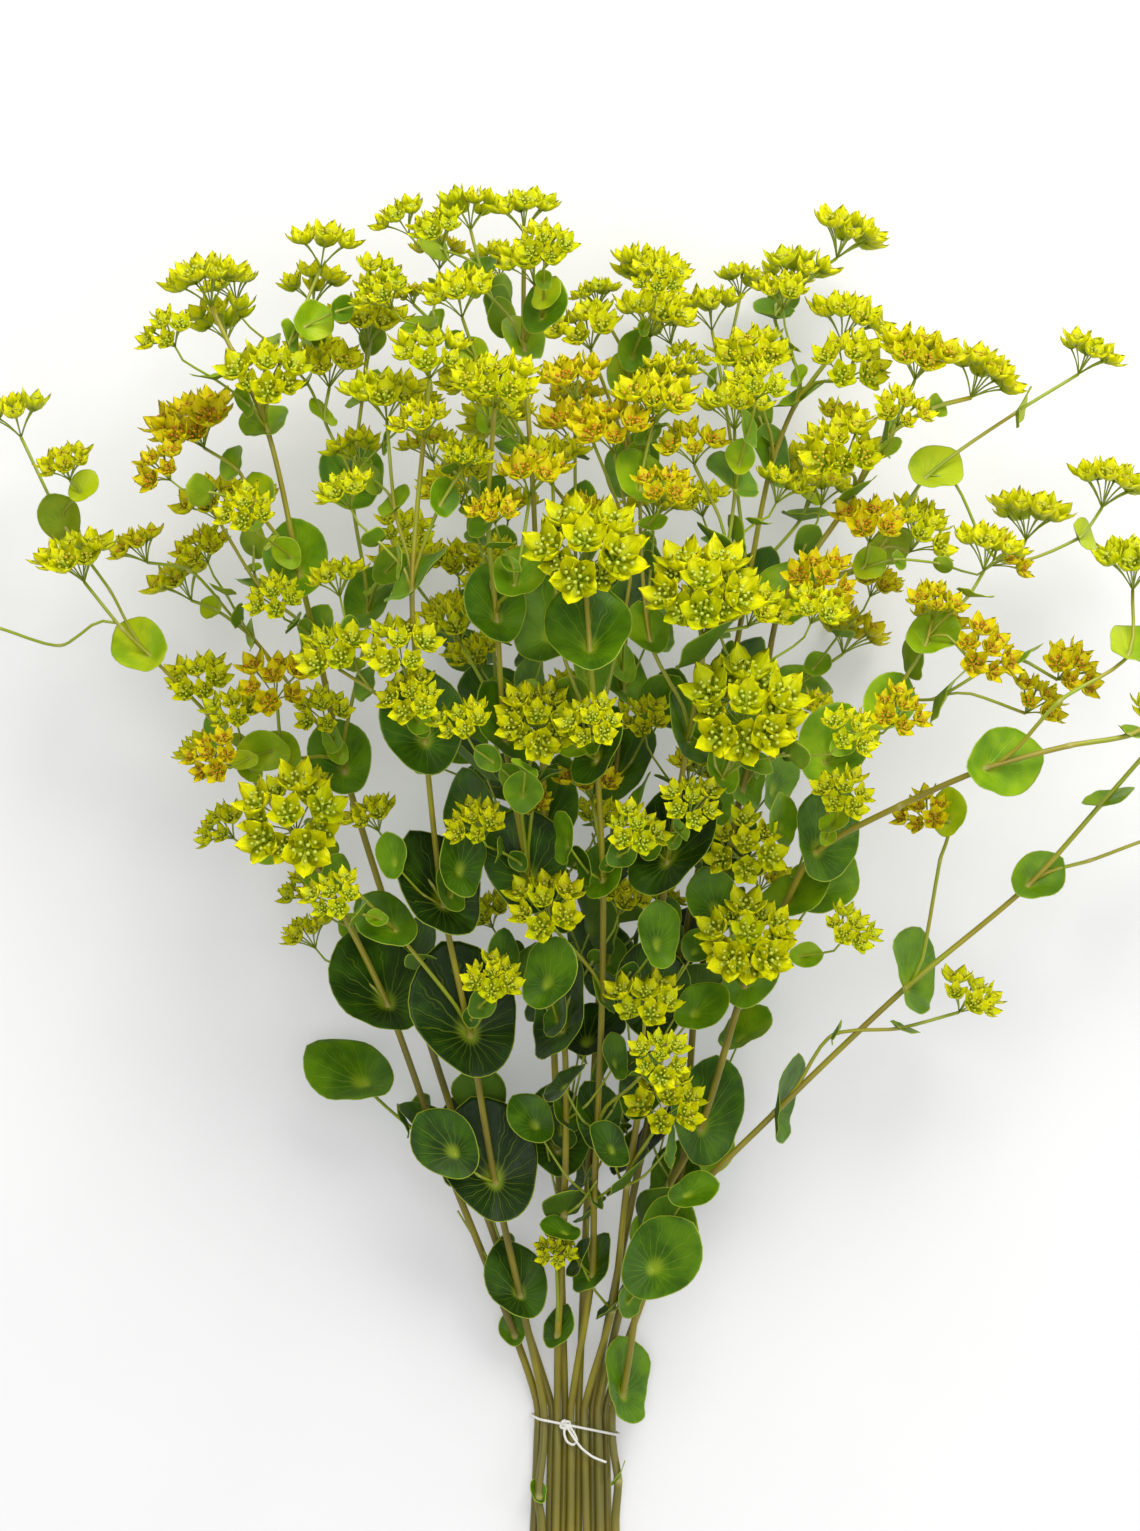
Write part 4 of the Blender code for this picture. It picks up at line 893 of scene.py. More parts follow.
def stalk_rings(path):
    """One stalk: a round tube along its path that narrows to its end and swells a little at each
    node by a bell curve of the distance to it. A cut stalk starts inside with a shallow hollow."""
    curve = path["curve"]
    where = np.concatenate(([0], np.cumsum(np.linalg.norm(np.diff(curve, axis=0), axis=1))))
    nodes = where[path["node_at"]] if path["node_at"] else np.array([-1.0])
    even = np.linspace(0, where[-1], max(STALK_POINTS, int(where[-1] / STALK_STEP)))
    extra = (nodes[:, None] + NODE_WIDTH * np.array((-2, -1, 0, 1, 2))).ravel()
    at = np.unique(np.concatenate((even, extra[(extra > 0) & (extra < where[-1])])))
    near = np.exp(-((at[:, None] - nodes) / NODE_WIDTH) ** 2).max(axis=1)
    radii = np.interp(at, where, path["radii"]) * (1 + NODE_SWELL * near)
    trunk = path["start"] is None
    around = TRUNK_AROUND if trunk else BRANCH_AROUND
    line = along_path(curve, path["ways"], where, at)
    rings = tube_rings(line, radii, around, TUBE_ZERO)
    if trunk:
        mouth = line[0] + HOLLOW_SHARE * (rings[0] - line[0])
        rings = np.concatenate(([mouth + HOLLOW_DEPTH * path["ways"][0], mouth], rings))
        at = np.concatenate(([0, 0], at))
        near = np.concatenate(([0, 0], near))
        radii = np.concatenate((radii[:1], radii[:1], radii))
    turn = 2 * np.pi * np.arange(around) / around
    grain = np.stack(np.broadcast_arrays(np.cos(turn), np.sin(turn), at[:, None] * GRAIN_STRETCH),
                     axis=-1)
    age = np.stack((radii / MM, near, at), axis=-1)
    return rings[None], grain[None], age[None, :, None]


def ray_rings(feet, bases, axes):
    """Rays of heads: thin tubes from a foot to each cup, bowed by half a sine wave towards the head's
    axis and thicker with the cube of the distance from the foot."""
    u = np.linspace(0, 1, RAY_POINTS)[:, None]
    line = feet[:, None] + u * (bases - feet)[:, None]
    bow = RAY_BOW * np.linalg.norm(bases - feet, axis=1)[:, None, None]
    line = line + bow * np.sin(np.pi * u) * axes[:, None]
    radii = np.broadcast_to(RAY_THIN + RAY_FLARE * u[:, 0] ** 3, line.shape[:2])
    return tube_rings(line, radii, RAY_AROUND, RAY_ZERO)


def leaf_rings(leaves):
    """Leaf blades: rings round the piercing stalk at shares of the way to the edge, first out along
    the back and then in along the face. The blade rises like a funnel, waved by three and by seven
    lobes that grow towards the edge, and its tip bends back with the square of its distance. The
    back lies a blade's thickness lower, less so at the edge."""
    shares = np.array(LEAF_BACK + LEAF_FACE)[:, None]
    back = np.arange(len(shares))[:, None] < len(LEAF_BACK)
    angles = 2 * np.pi * np.arange(LEAF_AROUND) / LEAF_AROUND
    length = np.array([leaf["length"] for leaf in leaves])[:, None, None]
    wave = np.array([leaf["wave"] for leaf in leaves])[:, None, None]
    reach = length * blade_reach(angles) * shares
    rise = LEAF_CUP * reach * (1 + LEAF_WAVE * np.sin(3 * angles + wave))
    rise = rise + LEAF_FLUTE_HEIGHT * length * shares ** 3 * np.sin(LEAF_FLUTES * angles + 2 * wave)
    rise = rise - TIP_BEND * (reach * np.clip(np.cos(angles), 0, 1)) ** 2 / length
    rise = rise - LEAF_THICKNESS * np.where(back, 1.15 - 0.4 * shares, 0.15)
    at, along, side, up = (np.array([leaf[key] for leaf in leaves])[:, None, None]
                           for key in ("at", "along", "side", "up"))
    points = (at + (reach * np.cos(angles))[..., None] * along
              + (reach * np.sin(angles))[..., None] * side + rise[..., None] * up)
    edge = (1 - shares) * length * blade_reach(angles) / MM
    blade = np.stack(np.broadcast_arrays(shares * np.cos(angles), shares * np.sin(angles), edge),
                     axis=-1)
    return points, blade, back


def cup_rows(path, rng):
    """Every cup of a head as (base, way, out, size): the solid's cups, one in the middle and smaller
    ones between them on shorter rays."""
    foot, axis, size, spin, count = path["umbel"]
    rows = [(base, way, out, MAIN_CUP * size) for base, way, out in cups_of(*path["umbel"])]
    rows.append((foot + MIDDLE_REACH * RAY_LENGTH * size * axis, axis, rows[0][2], SMALL_CUP * size))
    between = cups_of(foot, axis, BETWEEN_REACH * size, spin + math.pi / count, count)
    rows += [(base, unit(way + 0.15 * axis), out, SMALL_CUP * size * (0.85 + 0.3 * rng.random()))
             for base, way, out in between]
    return rows


def bract_rings(base, way, out, wide, high, spin):
    """Bracts of cups, five round each. A bract's middle line runs out by the sine of a quarter turn
    along it and up with the 1.5th power of its length, so five make a bowl. Its half width is the
    0.6th power of its length times what is left of it, and its edges curl in with the square of
    the distance from the middle. A ring is four points across its inner side and one outside."""
    u = np.array(BRACT_RINGS)
    turn = spin[:, None] + 2 * np.pi * np.arange(CUP_BRACTS) / CUP_BRACTS
    side = np.cross(way, out)
    radial = np.cos(turn)[..., None] * out[:, None] + np.sin(turn)[..., None] * side[:, None]
    across = np.cos(turn)[..., None] * side[:, None] - np.sin(turn)[..., None] * out[:, None]
    way = np.broadcast_to(way[:, None], radial.shape).reshape(-1, 1, 3)
    radial = radial.reshape(-1, 1, 3)
    across = across.reshape(-1, 1, 3)
    wide = np.repeat(wide, CUP_BRACTS)[:, None, None]
    high = np.repeat(high, CUP_BRACTS)[:, None, None]
    base = np.repeat(base, CUP_BRACTS, axis=0)[:, None]
    out_by = (0.05 + 0.95 * np.sin(0.5 * np.pi * u) ** 0.85)[:, None]
    up_by = (u ** 1.5)[:, None]
    line = base + wide * out_by * radial + high * up_by * way
    step = (wide * np.gradient(out_by[:, 0], u)[:, None] * radial
            + high * np.gradient(up_by[:, 0], u)[:, None] * way)
    inward = np.cross(step, across)
    inward /= np.linalg.norm(inward, axis=-1)[..., None]
    swell = 0.02 + 0.1 * (1 - u) + 2.8 * u ** 0.6 * (1 - u)
    half = wide / CUP_RADIUS * BRACT_WIDTH * swell[:, None]
    t = np.array((1, 0.4, -0.4, -1, 0))
    outer = np.array((0, 0, 0, 0, 1))
    lift = BRACT_CUPPING * t ** 2 * half - BRACT_THICKNESS * outer
    points = (line[:, :, None] + (t * half)[..., None] * across[:, :, None]
              + lift[..., None] * inward[:, :, None])
    return points, u, t


def floret_rings(base, way, out, wide, high):
    """Florets in cups: little domes on a larger low dome, laid out as in a sunflower, with the golden
    angle between one and the next and distances that grow as the square root."""
    k = np.arange(FLORETS)
    turn = GOLDEN_ANGLE * k
    away = np.sqrt((k + 0.4) / FLORETS)
    side = np.cross(way, out)
    spread = wide[:, None] * FLORET_SPREAD * away
    level = high[:, None] * (FLORET_LEVEL - FLORET_DOME * away ** 2)
    centre = (base[:, None] + (spread * np.cos(turn))[..., None] * out[:, None]
              + (spread * np.sin(turn))[..., None] * side[:, None] + level[..., None] * way[:, None])
    ring = 2 * np.pi * np.arange(FLORET_AROUND) / FLORET_AROUND
    round_by = np.array((1.0, 0.6))[:, None]
    up_by = np.array((-0.3, 0.6))[:, None]
    radius = (FLORET_RADIUS * wide / CUP_RADIUS)[:, None, None, None]
    points = (centre[:, :, None, None]
              + (radius * round_by * np.cos(ring))[..., None] * out[:, None, None, None]
              + (radius * round_by * np.sin(ring))[..., None] * side[:, None, None, None]
              + (radius * up_by * np.ones(FLORET_AROUND))[..., None] * way[:, None, None, None])
    return points.reshape(-1, len(up_by), FLORET_AROUND, 3)


def strand_rings(points, reference):
    """A length of three-ply string: three strands, each a tube along a helix round the guide line,
    a third of a turn apart."""
    curve = np.array(points)
    where = np.concatenate(([0], np.cumsum(np.linalg.norm(np.diff(curve, axis=0), axis=1))))
    at = np.linspace(0, where[-1], int(where[-1] / STRING_STEP))
    line = along_path(curve, tangents(curve), where, at)
    ways = tangents(line)
    first = reference - (ways @ reference)[:, None] * ways
    first /= np.linalg.norm(first, axis=1)[:, None]
    second = np.cross(ways, first)
    grids = []
    for strand in range(STRANDS):
        turn = (2 * np.pi * (at / TWIST_PITCH + strand / STRANDS))[:, None]
        helix = line + HELIX_SHARE * STRING_RADIUS * (np.cos(turn) * first + np.sin(turn) * second)
        radii = np.full(len(at), STRAND_SHARE * STRING_RADIUS)
        grids.append(tube_rings(helix, radii, STRAND_AROUND, reference)[None])
    return grids


def dress_stalks(name, paths, finish):
    """The stalk and branches of a stem."""
    grids, grain, age = zip(*(stalk_rings(path) for path in paths))
    add_piece(name + "_stalks", finish, name, grids, {"grain": grain, "age": age})


def dress_leaves(name, paths, finish, rng):
    """The leaves of a stem. Each is the yellower the higher it grows and the smaller it is, and lighter
    and yellower the farther it lies from the bunch's middle line, as painted light; the darker
    leaves of the core are painted shade."""
    leaves = [leaf for path in paths for leaf in path["leaves"] if leaf is not None]
    points, blade, back = leaf_rings(leaves)
    tints = []
    for leaf in leaves:
        high = smooth_step(leaf["at"][1], *HIGH_LEAVES)
        small = 1 - smooth_step(leaf["length"], *LARGE_LEAVES)
        # Painted light: a leaf outside the bunch's core is made lighter and yellower, so those inside stay
        # darker as painted shade
        reach = CORE_HALF + CORE_SPREAD * (leaf["at"][1] - TIE_Y)
        outer = smooth_step(abs(leaf["at"][0] - CROWN_MIDDLE[0]) / reach, *CORE_EDGE)
        youth_and_painted_light = (YOUNG_HIGH * high + YOUNG_SMALL * small + OUTER_PAINTED_LIGHT * outer
                 + YOUNG_CHANCE * rng.random() - YOUNG_LEAST)
        tints.append((youth_and_painted_light, rng.random(), 0))
    tint = np.array(tints)[:, None, None] + np.array((0, 0, 1)) * back[..., None]
    add_piece(name + "_leaves", finish, name, [points], {"blade": [blade], "tint": [tint]})


def dress_heads(name, paths, bract_finish, floret_finish, stalk_finish, rng):
    """The rays, bract cups and florets of a stem's heads."""
    rows = []
    for path in paths:
        if path["umbel"] is None:
            continue
        ripe = path["head"][5]
        rows += [(path["umbel"][0], path["umbel"][1], ripe, *cup) for cup in cup_rows(path, rng)]
    feet, axes, ripe, base, way, out, size = (np.array(column) for column in zip(*rows))
    out = out - np.sum(out * way, axis=1)[:, None] * way
    out /= np.linalg.norm(out, axis=1)[:, None]
    count = len(rows)
    wide = CUP_RADIUS * size * (CUP_OPENING[0] + CUP_OPENING[1] * rng.random(count))
    high = CUP_DEPTH * size * (CUP_HEIGHT[0] - CUP_HEIGHT[1] * rng.random(count))
    spin = 2 * np.pi * rng.random(count)
    fresh = rng.random(count)
    rays = ray_rings(feet, base, axes)
    grain = np.zeros_like(rays)
    age = np.stack(np.broadcast_arrays(np.full(rays.shape[:3], RAY_AGE), 0.0, 0.0), axis=-1)
    add_piece(name + "_rays", stalk_finish, name, [rays], {"grain": [grain], "age": [age]})
    points, u, t = bract_rings(base, way, out, wide, high, spin)
    leafy = np.stack(np.broadcast_arrays(u[:, None], t, np.repeat(fresh, CUP_BRACTS)[:, None, None]),
                     axis=-1)
    tint = np.zeros_like(points)
    tint[..., 0] = np.repeat(ripe, CUP_BRACTS)[:, None, None]
    add_piece(name + "_bracts", bract_finish, name, [points],
              {"leafy": [leafy], "tint": [tint]})
    points = floret_rings(base, way, out, wide, high)
    tint = np.zeros_like(points)
    each = rng.random(len(points))
    tint[..., 0] = (np.repeat(ripe, FLORETS) + RIPE_SPREAD * (each - 0.5))[:, None, None]
    add_piece(name + "_florets", floret_finish, name, [points], {"tint": [tint]})


def dress_string(finish):
    """The string: its turn, the two loops of its knot, a small bow and a loose end."""
    turn = string_turn()
    top = max(z for _, _, z in turn)
    middle = np.array((KNOT_X, string_level(KNOT_X), top + 0.4 * STRING_RADIUS))
    first = int(np.argmin([np.linalg.norm(np.array(point) - middle) for point in turn]))
    turn = turn[first:] + turn[:first + 1]
    grids = strand_rings(turn, np.array((0.0, 1.0, 0.0)))
    upright = np.array((0.0, 0.0, 1.0))
    for i, (way, wide) in enumerate(KNOT_LOOPS):
        along = wide * MM * unit(np.array((*way, 0)))
        across = LOOP_FLATNESS * np.array((-along[1], along[0], 0))
        loop = [middle + math.cos(a) * along + math.sin(a) * across
                + np.array((0, 0, LOOP_TWIST * math.sin(2 * a + i)))
                for a in np.linspace(0, 2 * math.pi, LOOP_POINTS)]
        grids += strand_rings(loop, upright)
    bow = [middle + BOW_LIFT + np.array((x, y, 0)) * MM for x, y in BOW]
    loose_end = [middle + BOW_LIFT + np.array(point) * MM for point in LOOSE_END]
    grids += strand_rings(bow, upright) + strand_rings(loose_end, upright)
    add_piece("string_tie_plies", finish, "string_tie", grids, {})


def linear(code):
    """A linear colour from an sRGB hex value, each channel by the sRGB curve."""
    srgb = np.array([int(code[i:i + 2], 16) for i in (0, 2, 4)]) / 255
    channels = np.where(srgb <= 0.04045, srgb / 12.92, ((srgb + 0.055) / 1.055) ** 2.4)
    return (*channels.tolist(), 1.0)


# Patterns of the finishes: the size of one patch of each, and how many veins a leaf and a bract have
BLOTCH = 14.3 * MM
VEIN_BEND = 6.25 * MM
BLOOM_PATCH = 2.38 * MM
STALK_PATCH = 40 * MM
BRACT_PATCH = 4.545 * MM
POLLEN_GRAIN = 0.5556 * MM
FIBRE_SPACING = 0.2857 * MM
PULP_CLOUD = 111 * MM
MAIN_VEINS = 20
FINE_VEINS = 40
BRACT_VEINS = 5

# Settings of nodes. A range goes by number: its value, from, to, and what these become. So does a
# mix: its share, and the colours 6 and 7.
SMOOTH = {"interpolation_type": "SMOOTHSTEP"}
MIXED = {"out": 2, "data_type": "RGBA"}
ON_PIECE = {"out": 3}
SUM = {"operation": "ADD"}
TIMES = {"operation": "MULTIPLY"}


def add(tree, kind, inputs, out=0, stops=(), **settings):
    """Adds a node with its settings, its ramp's stops and its inputs, and returns one output, or all
    of them where out is None. An input takes a value, or the output that feeds it."""
    node = tree.nodes.new("ShaderNode" + kind)
    for name, value in settings.items():
        setattr(node, name, value)
    for i, (position, code) in enumerate(stops):
        ramp = node.color_ramp.elements
        stop = ramp[i] if i == 0 else ramp[-1] if i == len(stops) - 1 else ramp.new(position)
        stop.position = position
        stop.color = linear(code)
    for name, value in inputs.items():
        if isinstance(value, bpy.types.NodeSocket):
            tree.links.new(value, node.inputs[name])
        else:
            node.inputs[name].default_value = value
    return node.outputs if out is None else node.outputs[out]


def new_finish(name, roughness, **fixed):
    """A material with a principled shader, its fixed values set on the shader's own sockets."""
    material = bpy.data.materials.new(name)
    material.use_nodes = True
    shader = material.node_tree.nodes["Principled BSDF"]
    shader.inputs["Roughness"].default_value = roughness
    for socket, value in fixed.items():
        shader.inputs[socket.replace("_", " ").title()].default_value = value
    return material, material.node_tree, shader


def leaf_finish():
    """Living leaf with a waxy bloom: satin green, with pale veins that fan out from the stalk, a
    pale line along the edge and a dull grey-green back."""
    material, tree, shader = new_finish("waxy_green_leaf", 0.42)
    shader.inputs["Specular IOR Level"].default_value = 0.22
    blade = add(tree, "Attribute", {}, out=1, attribute_name="blade")
    across, along, edge = add(tree, "SeparateXYZ", {0: blade}, out=None)
    # The first mark of a leaf's tint is its youth plus painted light on leaves outside the bunch's core
    tint = add(tree, "Attribute", {}, out=1, attribute_name="tint")
    youth_and_painted_light, _, back = add(tree, "SeparateXYZ", {0: tint}, out=None)
    place_on = add(tree, "TexCoord", {}, **ON_PIECE)
    # Blotches 14 mm across make one part of a blade lighter than the next
    blotch = add(tree, "TexNoise", {"Vector": place_on, "Scale": 1 / BLOTCH, "Detail": 3.0})
    uneven = add(tree, "MapRange", {0: blotch, 1: 0.3, 2: 0.7, 3: -0.14, 4: 0.14}, **SMOOTH)
    youth_and_painted_light = add(tree, "Math", {0: youth_and_painted_light, 1: uneven}, **SUM)
    # Dark to light green; the darkest greens stand partly for painted shade in the bunch's core
    green = add(tree, "ValToRGB", {0: youth_and_painted_light}, stops=(
        (0.0, "183200"), (0.3, "3A6200"), (0.6, "628C00"), (0.85, "8CAC02"), (1.0, "AEC00A")))
    # How far out on the blade, and which way round the stalk, bent a little every 6 mm
    across_square = add(tree, "Math", {0: across, 1: across}, **TIMES)
    along_square = add(tree, "Math", {0: along, 1: along}, **TIMES)
    square = add(tree, "Math", {0: across_square, 1: along_square}, **SUM)
    share = add(tree, "Math", {0: square}, operation="SQRT")
    turn = add(tree, "Math", {0: along, 1: across}, operation="ARCTAN2")
    bend = add(tree, "TexNoise", {"Vector": place_on, "Scale": 1 / VEIN_BEND, "Detail": 1.0})
    bend = add(tree, "Math", {0: bend, 1: 0.22}, **TIMES)
    turn = add(tree, "Math", {0: turn, 1: bend}, **SUM)
    # Twenty main veins half a millimetre wide, and forty finer ones from half way out
    main = add(tree, "Math", {0: turn, 1: 0.5 * MAIN_VEINS}, **TIMES)
    main = add(tree, "Math", {0: main}, operation="SINE")
    main = add(tree, "Math", {0: main}, operation="ABSOLUTE")
    main = add(tree, "Math", {0: main, 1: share}, **TIMES)
    main = add(tree, "MapRange", {0: main, 1: 0.02, 2: 0.17, 3: 1.0, 4: 0.0}, **SMOOTH)
    fine = add(tree, "Math", {0: turn, 1: 0.5 * FINE_VEINS}, **TIMES)
    fine = add(tree, "Math", {0: fine}, operation="COSINE")
    fine = add(tree, "Math", {0: fine}, operation="ABSOLUTE")
    fine = add(tree, "Math", {0: fine, 1: share}, **TIMES)
    fine = add(tree, "MapRange", {0: fine, 1: 0.02, 2: 0.2, 3: 1.0, 4: 0.0}, **SMOOTH)
    half_way = add(tree, "MapRange", {0: share, 1: 0.4, 2: 0.62, 3: 0.0, 4: 0.5}, **SMOOTH)
    fine = add(tree, "Math", {0: fine, 1: half_way}, **TIMES)
    veins = add(tree, "Math", {0: main, 1: fine}, operation="MAXIMUM")
    to_edge = add(tree, "MapRange", {0: share, 1: 0.55, 2: 1.0, 3: 1.0, 4: 0.35}, **SMOOTH)
    veins = add(tree, "Math", {0: veins, 1: to_edge}, **TIMES)
    # The green, paler on its veins, round the stalk, on the back and along the edge
    faint = add(tree, "Math", {0: veins, 1: 0.26}, **TIMES)
    colour = add(tree, "Mix", {0: faint, 6: green, 7: linear("8FA91E")}, **MIXED)
    middle = add(tree, "MapRange", {0: share, 1: 0.06, 2: 0.3, 3: 0.6, 4: 0.0}, **SMOOTH)
    colour = add(tree, "Mix", {0: middle, 6: colour, 7: linear("9DB224")}, **MIXED)
    dull = add(tree, "Math", {0: back, 1: 0.5}, **TIMES)
    colour = add(tree, "Mix", {0: dull, 6: colour, 7: linear("567318")}, **MIXED)
    rim = add(tree, "MapRange", {0: edge, 1: 0.25, 2: 0.55, 3: 0.75, 4: 0.0}, **SMOOTH)
    colour = add(tree, "Mix", {0: rim, 6: colour, 7: linear("A9B834")}, **MIXED)
    tree.links.new(colour, shader.inputs["Base Color"])
    # The bloom makes patches of 2.4 mm duller, and the back is duller still
    sheen = add(tree, "TexNoise", {"Vector": place_on, "Scale": 1 / BLOOM_PATCH, "Detail": 2.0})
    sheen = add(tree, "MapRange", {0: sheen, 1: 0.3, 2: 0.7, 3: 0.36, 4: 0.5}, **SMOOTH)
    matt = add(tree, "Math", {0: back, 1: 0.18}, **TIMES)
    rough = add(tree, "Math", {0: sheen, 1: matt}, **SUM)
    tree.links.new(rough, shader.inputs["Roughness"])
    height = add(tree, "Math", {0: blotch, 1: 1.5}, **TIMES)
    height = add(tree, "Math", {0: height, 1: veins}, operation="SUBTRACT")
    relief = add(tree, "Bump", {"Strength": 0.35, "Distance": 0.0004, "Height": height})
    tree.links.new(relief, shader.inputs["Normal"])
    return material


def stalk_finish():
    """Smooth herb stalk: golden olive, browner where it is thick, fine ribs, and a pale node."""
    material, tree, shader = new_finish("olive_herb_stalk", 0.4)
    age = add(tree, "Attribute", {}, out=1, attribute_name="age")
    thick, near, _ = add(tree, "SeparateXYZ", {0: age}, out=None)
    grain = add(tree, "Attribute", {}, out=1, attribute_name="grain")
    place_on = add(tree, "TexCoord", {}, **ON_PIECE)
    # Stretches of 40 mm are browner or greener
    patch = add(tree, "TexNoise", {"Vector": place_on, "Scale": 1 / STALK_PATCH, "Detail": 2.0})
    uneven = add(tree, "MapRange", {0: patch, 1: 0.3, 2: 0.7, 3: -0.35, 4: 0.35}, **SMOOTH)
    thick = add(tree, "Math", {0: thick, 1: uneven}, **SUM)
    brown = add(tree, "MapRange", {0: thick, 1: 0.5, 2: 2.3, 3: 0.0, 4: 1.0}, **SMOOTH)
    olive = add(tree, "ValToRGB", {0: brown}, stops=(
        (0.0, "97A81C"), (0.3, "A69A20"), (0.65, "8A7C22"), (1.0, "6F6428")))
    # Fourteen ribs round a stalk, each some 15 mm long
    rib = add(tree, "TexNoise", {"Vector": grain, "Scale": RIB_SCALE, "Detail": 3.0})
    ribbed = add(tree, "MapRange", {0: rib, 1: 0.35, 2: 0.65, 3: 0.0, 4: 0.3}, **SMOOTH)
    colour = add(tree, "Mix", {0: ribbed, 6: olive, 7: linear("66781A")}, **MIXED)
    pale = add(tree, "Math", {0: near, 1: 0.55}, **TIMES)
    colour = add(tree, "Mix", {0: pale, 6: colour, 7: linear("BDB868")}, **MIXED)
    tree.links.new(colour, shader.inputs["Base Color"])
    relief = add(tree, "Bump", {"Strength": 0.3, "Distance": 0.0003, "Height": rib})
    tree.links.new(relief, shader.inputs["Normal"])
    return material


def bract_finish():
    """Thin lime-yellow bract: light comes through it, greener at its foot and along its veins, and
    more golden round ripe florets."""
    material, tree, shader = new_finish("lime_yellow_bract", 0.5, subsurface_weight=0.2,
                                        subsurface_scale=0.001)
    shader.inputs["Subsurface Radius"].default_value = (1.0, 1.0, 0.12)
    shader.inputs["Specular IOR Level"].default_value = 0.2
    leafy = add(tree, "Attribute", {}, out=1, attribute_name="leafy")
    along, across, own = add(tree, "SeparateXYZ", {0: leafy}, out=None)
    tint = add(tree, "Attribute", {}, out=1, attribute_name="tint")
    ripe = add(tree, "SeparateXYZ", {0: tint})
    place_on = add(tree, "TexCoord", {}, **ON_PIECE)
    # Patches of 4.5 mm, about a bract's own width, are greener or yellower
    patch = add(tree, "TexNoise", {"Vector": place_on, "Scale": 1 / BRACT_PATCH, "Detail": 2.0})
    uneven = add(tree, "MapRange", {0: patch, 1: 0.3, 2: 0.7, 3: -0.15, 4: 0.15}, **SMOOTH)
    tone = add(tree, "Math", {0: along, 1: uneven}, **SUM)
    lime = add(tree, "ValToRGB", {0: tone}, stops=(
        (0.0, "8AA400"), (0.35, "C8CC00"), (0.75, "E6E400"), (1.0, "F0E80E")))
    fresh = add(tree, "MapRange", {0: own, 1: 0.35, 2: 1.0, 3: 0.0, 4: 0.45}, **SMOOTH)
    colour = add(tree, "Mix", {0: fresh, 6: lime, 7: linear("B2C600")}, **MIXED)
    golden = add(tree, "MapRange", {0: ripe, 1: 0.3, 2: 1.1, 3: 0.0, 4: 0.45}, **SMOOTH)
    colour = add(tree, "Mix", {0: golden, 6: colour, 7: linear("DCAE00")}, **MIXED)
    # Five veins along a bract
    vein = add(tree, "Math", {0: across, 1: 0.5 * math.pi * BRACT_VEINS}, **TIMES)
    vein = add(tree, "Math", {0: vein}, operation="SINE")
    vein = add(tree, "Math", {0: vein}, operation="ABSOLUTE")
    vein = add(tree, "MapRange", {0: vein, 1: 0.0, 2: 0.5, 3: 0.35, 4: 0.0}, **SMOOTH)
    colour = add(tree, "Mix", {0: vein, 6: colour, 7: linear("90A200")}, **MIXED)
    tree.links.new(colour, shader.inputs["Base Color"])
    return material


def floret_finish():
    """Floret heads: pale beads when fresh, orange with pollen when ripe and brown when over."""
    material, tree, shader = new_finish("pollen_florets", 0.7)
    tint = add(tree, "Attribute", {}, out=1, attribute_name="tint")
    ripe = add(tree, "SeparateXYZ", {0: tint})
    place_on = add(tree, "TexCoord", {}, **ON_PIECE)
    # Grains half a millimetre across, drawn coarser than pollen so that they show
    grain = add(tree, "TexNoise", {"Vector": place_on, "Scale": 1 / POLLEN_GRAIN, "Detail": 1.0})
    uneven = add(tree, "MapRange", {0: grain, 1: 0.3, 2: 0.7, 3: -0.15, 4: 0.15}, **SMOOTH)
    ripe = add(tree, "Math", {0: ripe, 1: uneven}, **SUM)
    ripe = add(tree, "Math", {0: ripe, 1: 0.75}, **TIMES)
    colour = add(tree, "ValToRGB", {0: ripe}, stops=(
        (0.0, "BCCB4C"), (0.25, "C8C024"), (0.45, "D2A20C"), (0.72, "CF8404"), (1.0, "6C3E10")))
    tree.links.new(colour, shader.inputs["Base Color"])
    relief = add(tree, "Bump", {"Strength": 0.5, "Distance": 0.0003, "Height": grain})
    tree.links.new(relief, shader.inputs["Normal"])
    return material


def string_finish():
    """Bleached cotton string: matt off-white, darker where its fibre relief lies low."""
    material, tree, shader = new_finish("bleached_cotton_string", 0.9, sheen_weight=0.3)
    place_on = add(tree, "TexCoord", {}, **ON_PIECE)
    # Fibres 0.3 mm apart, drawn coarser than cotton so that they show
    fibre = add(tree, "TexNoise", {"Vector": place_on, "Scale": 1 / FIBRE_SPACING, "Detail": 2.0})
    # Darker where the fibre noise lies low, the same noise that makes the relief
    fibre_raised = add(tree, "MapRange", {0: fibre, 1: 0.35, 2: 0.65, 3: 0.0, 4: 1.0}, **SMOOTH)
    colour = add(tree, "Mix", {0: fibre_raised, 6: linear("D9D6CE"), 7: linear("F4F3EF")}, **MIXED)
    tree.links.new(colour, shader.inputs["Base Color"])
    relief = add(tree, "Bump", {"Strength": 0.5, "Distance": 0.0002, "Height": fibre})
    tree.links.new(relief, shader.inputs["Normal"])
    return material


def paper_finish():
    """Matt white backdrop paper, a very little uneven, lit from behind so that shadows are soft."""
    material, tree, shader = new_finish("white_backdrop_paper", 0.85)
    place_on = add(tree, "TexCoord", {}, **ON_PIECE)
    # Clouds 110 mm across in the pulp
    cloud = add(tree, "TexNoise", {"Vector": place_on, "Scale": 1 / PULP_CLOUD, "Detail": 4.0})
    colour = add(tree, "Mix", {0: cloud, 6: linear("CBCBCD"), 7: linear("D0D0D2")}, **MIXED)
    tree.links.new(colour, shader.inputs["Base Color"])
    shader.inputs["Emission Color"].default_value = linear("FFFFFF")
    shader.inputs["Emission Strength"].default_value = FLOOR_GLOW
    return material


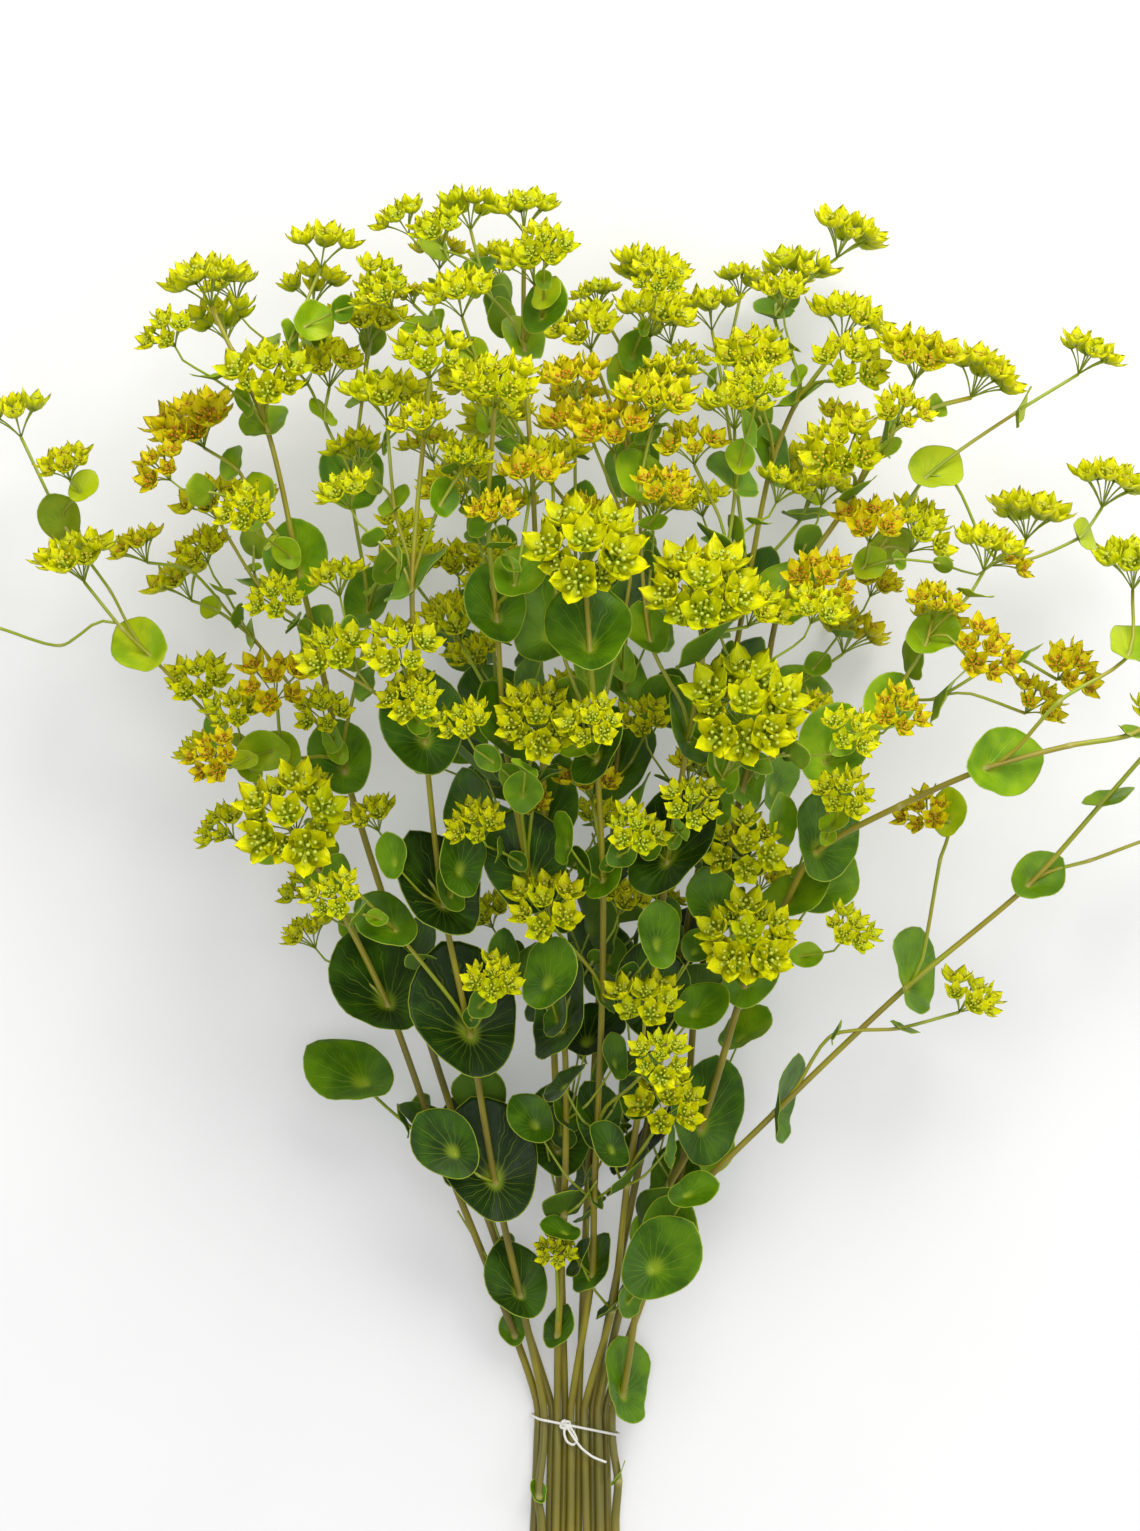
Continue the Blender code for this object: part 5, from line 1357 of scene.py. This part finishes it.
# The studio: a lit white table, a broad window light from beyond the tips and soft fill all round
FLOOR_SIDE = 6.0
FLOOR_DROP = 0.0002
FLOOR_GLOW = 0.25
CAMERA_VIEW = 2 * math.atan(0.5 * PIXEL * PICTURE_HEIGHT / (EYE_LEVEL - PIXEL_LEVEL))
LIGHTS = (
    ("window", (0.5, 1.9, 1.5), 1.3, 40.0, "FFFDF6"),
    ("overhead", (-0.1, 0.2, 2.6), 1.8, 20.0, "FFFFFF"),
    ("side_fill", (1.8, 0.1, 0.9), 1.0, 7.0, "FFFFFF"),
)
LIGHT_TARGET = np.array((0.0, 0.3, 0.1))
SKY_STRENGTH = 0.50


def aim_at(thing, target):
    """Turns a light to face a point."""
    away = np.array(thing.location) - target
    thing.rotation_euler = (math.acos(away[2] / np.linalg.norm(away)), 0,
                            math.atan2(away[0], -away[1]))


def set_studio():
    """Floor, lights, sky and the camera, which looks straight down at the middle of the picture."""
    mesh = bpy.data.meshes.new("table_top")
    half = FLOOR_SIDE / 2
    mesh.from_pydata([(-half, -half, 0), (half, -half, 0), (half, half, 0), (-half, half, 0)], [],
                     [(0, 1, 2, 3)])
    mesh.materials.append(paper_finish())
    floor = bpy.data.objects.new("table_top", mesh)
    floor.location.z = -FLOOR_DROP
    bpy.context.scene.collection.objects.link(floor)
    for name, at, side, power, code in LIGHTS:
        light = bpy.data.lights.new(name, "AREA")
        light.size = side
        light.energy = power
        light.color = linear(code)[:3]
        lamp = bpy.data.objects.new(name, light)
        lamp.location = at
        aim_at(lamp, LIGHT_TARGET)
        bpy.context.scene.collection.objects.link(lamp)
    sky = bpy.data.worlds.new("soft_sky")
    sky.use_nodes = True
    sky.node_tree.nodes["Background"].inputs["Strength"].default_value = SKY_STRENGTH
    sky.node_tree.nodes["Background"].inputs["Color"].default_value = linear("FFFFFF")
    bpy.context.scene.world = sky
    eye = bpy.data.cameras.new("camera_from_above")
    eye.sensor_fit = "VERTICAL"
    eye.angle = CAMERA_VIEW
    camera = bpy.data.objects.new("camera_from_above", eye)
    middle = place(*PICTURE_MIDDLE, 0)
    camera.location = (middle[0], middle[1], EYE_LEVEL)
    bpy.context.scene.collection.objects.link(camera)
    bpy.context.scene.camera = camera
    bpy.context.scene.view_settings.view_transform = "Standard"


def main():
    """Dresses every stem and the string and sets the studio."""
    leaf = leaf_finish()
    stalk = stalk_finish()
    bract = bract_finish()
    floret = floret_finish()
    rng = np.random.default_rng(DRESSING_SEED)
    stems = arrange()
    grow_shoots(stems)
    for name, paths in stems.items():
        dress_stalks(name, paths, stalk)
        dress_leaves(name, paths, leaf, rng)
        dress_heads(name, paths, bract, floret, stalk, rng)
    dress_string(string_finish())
    set_studio()
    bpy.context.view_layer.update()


main()
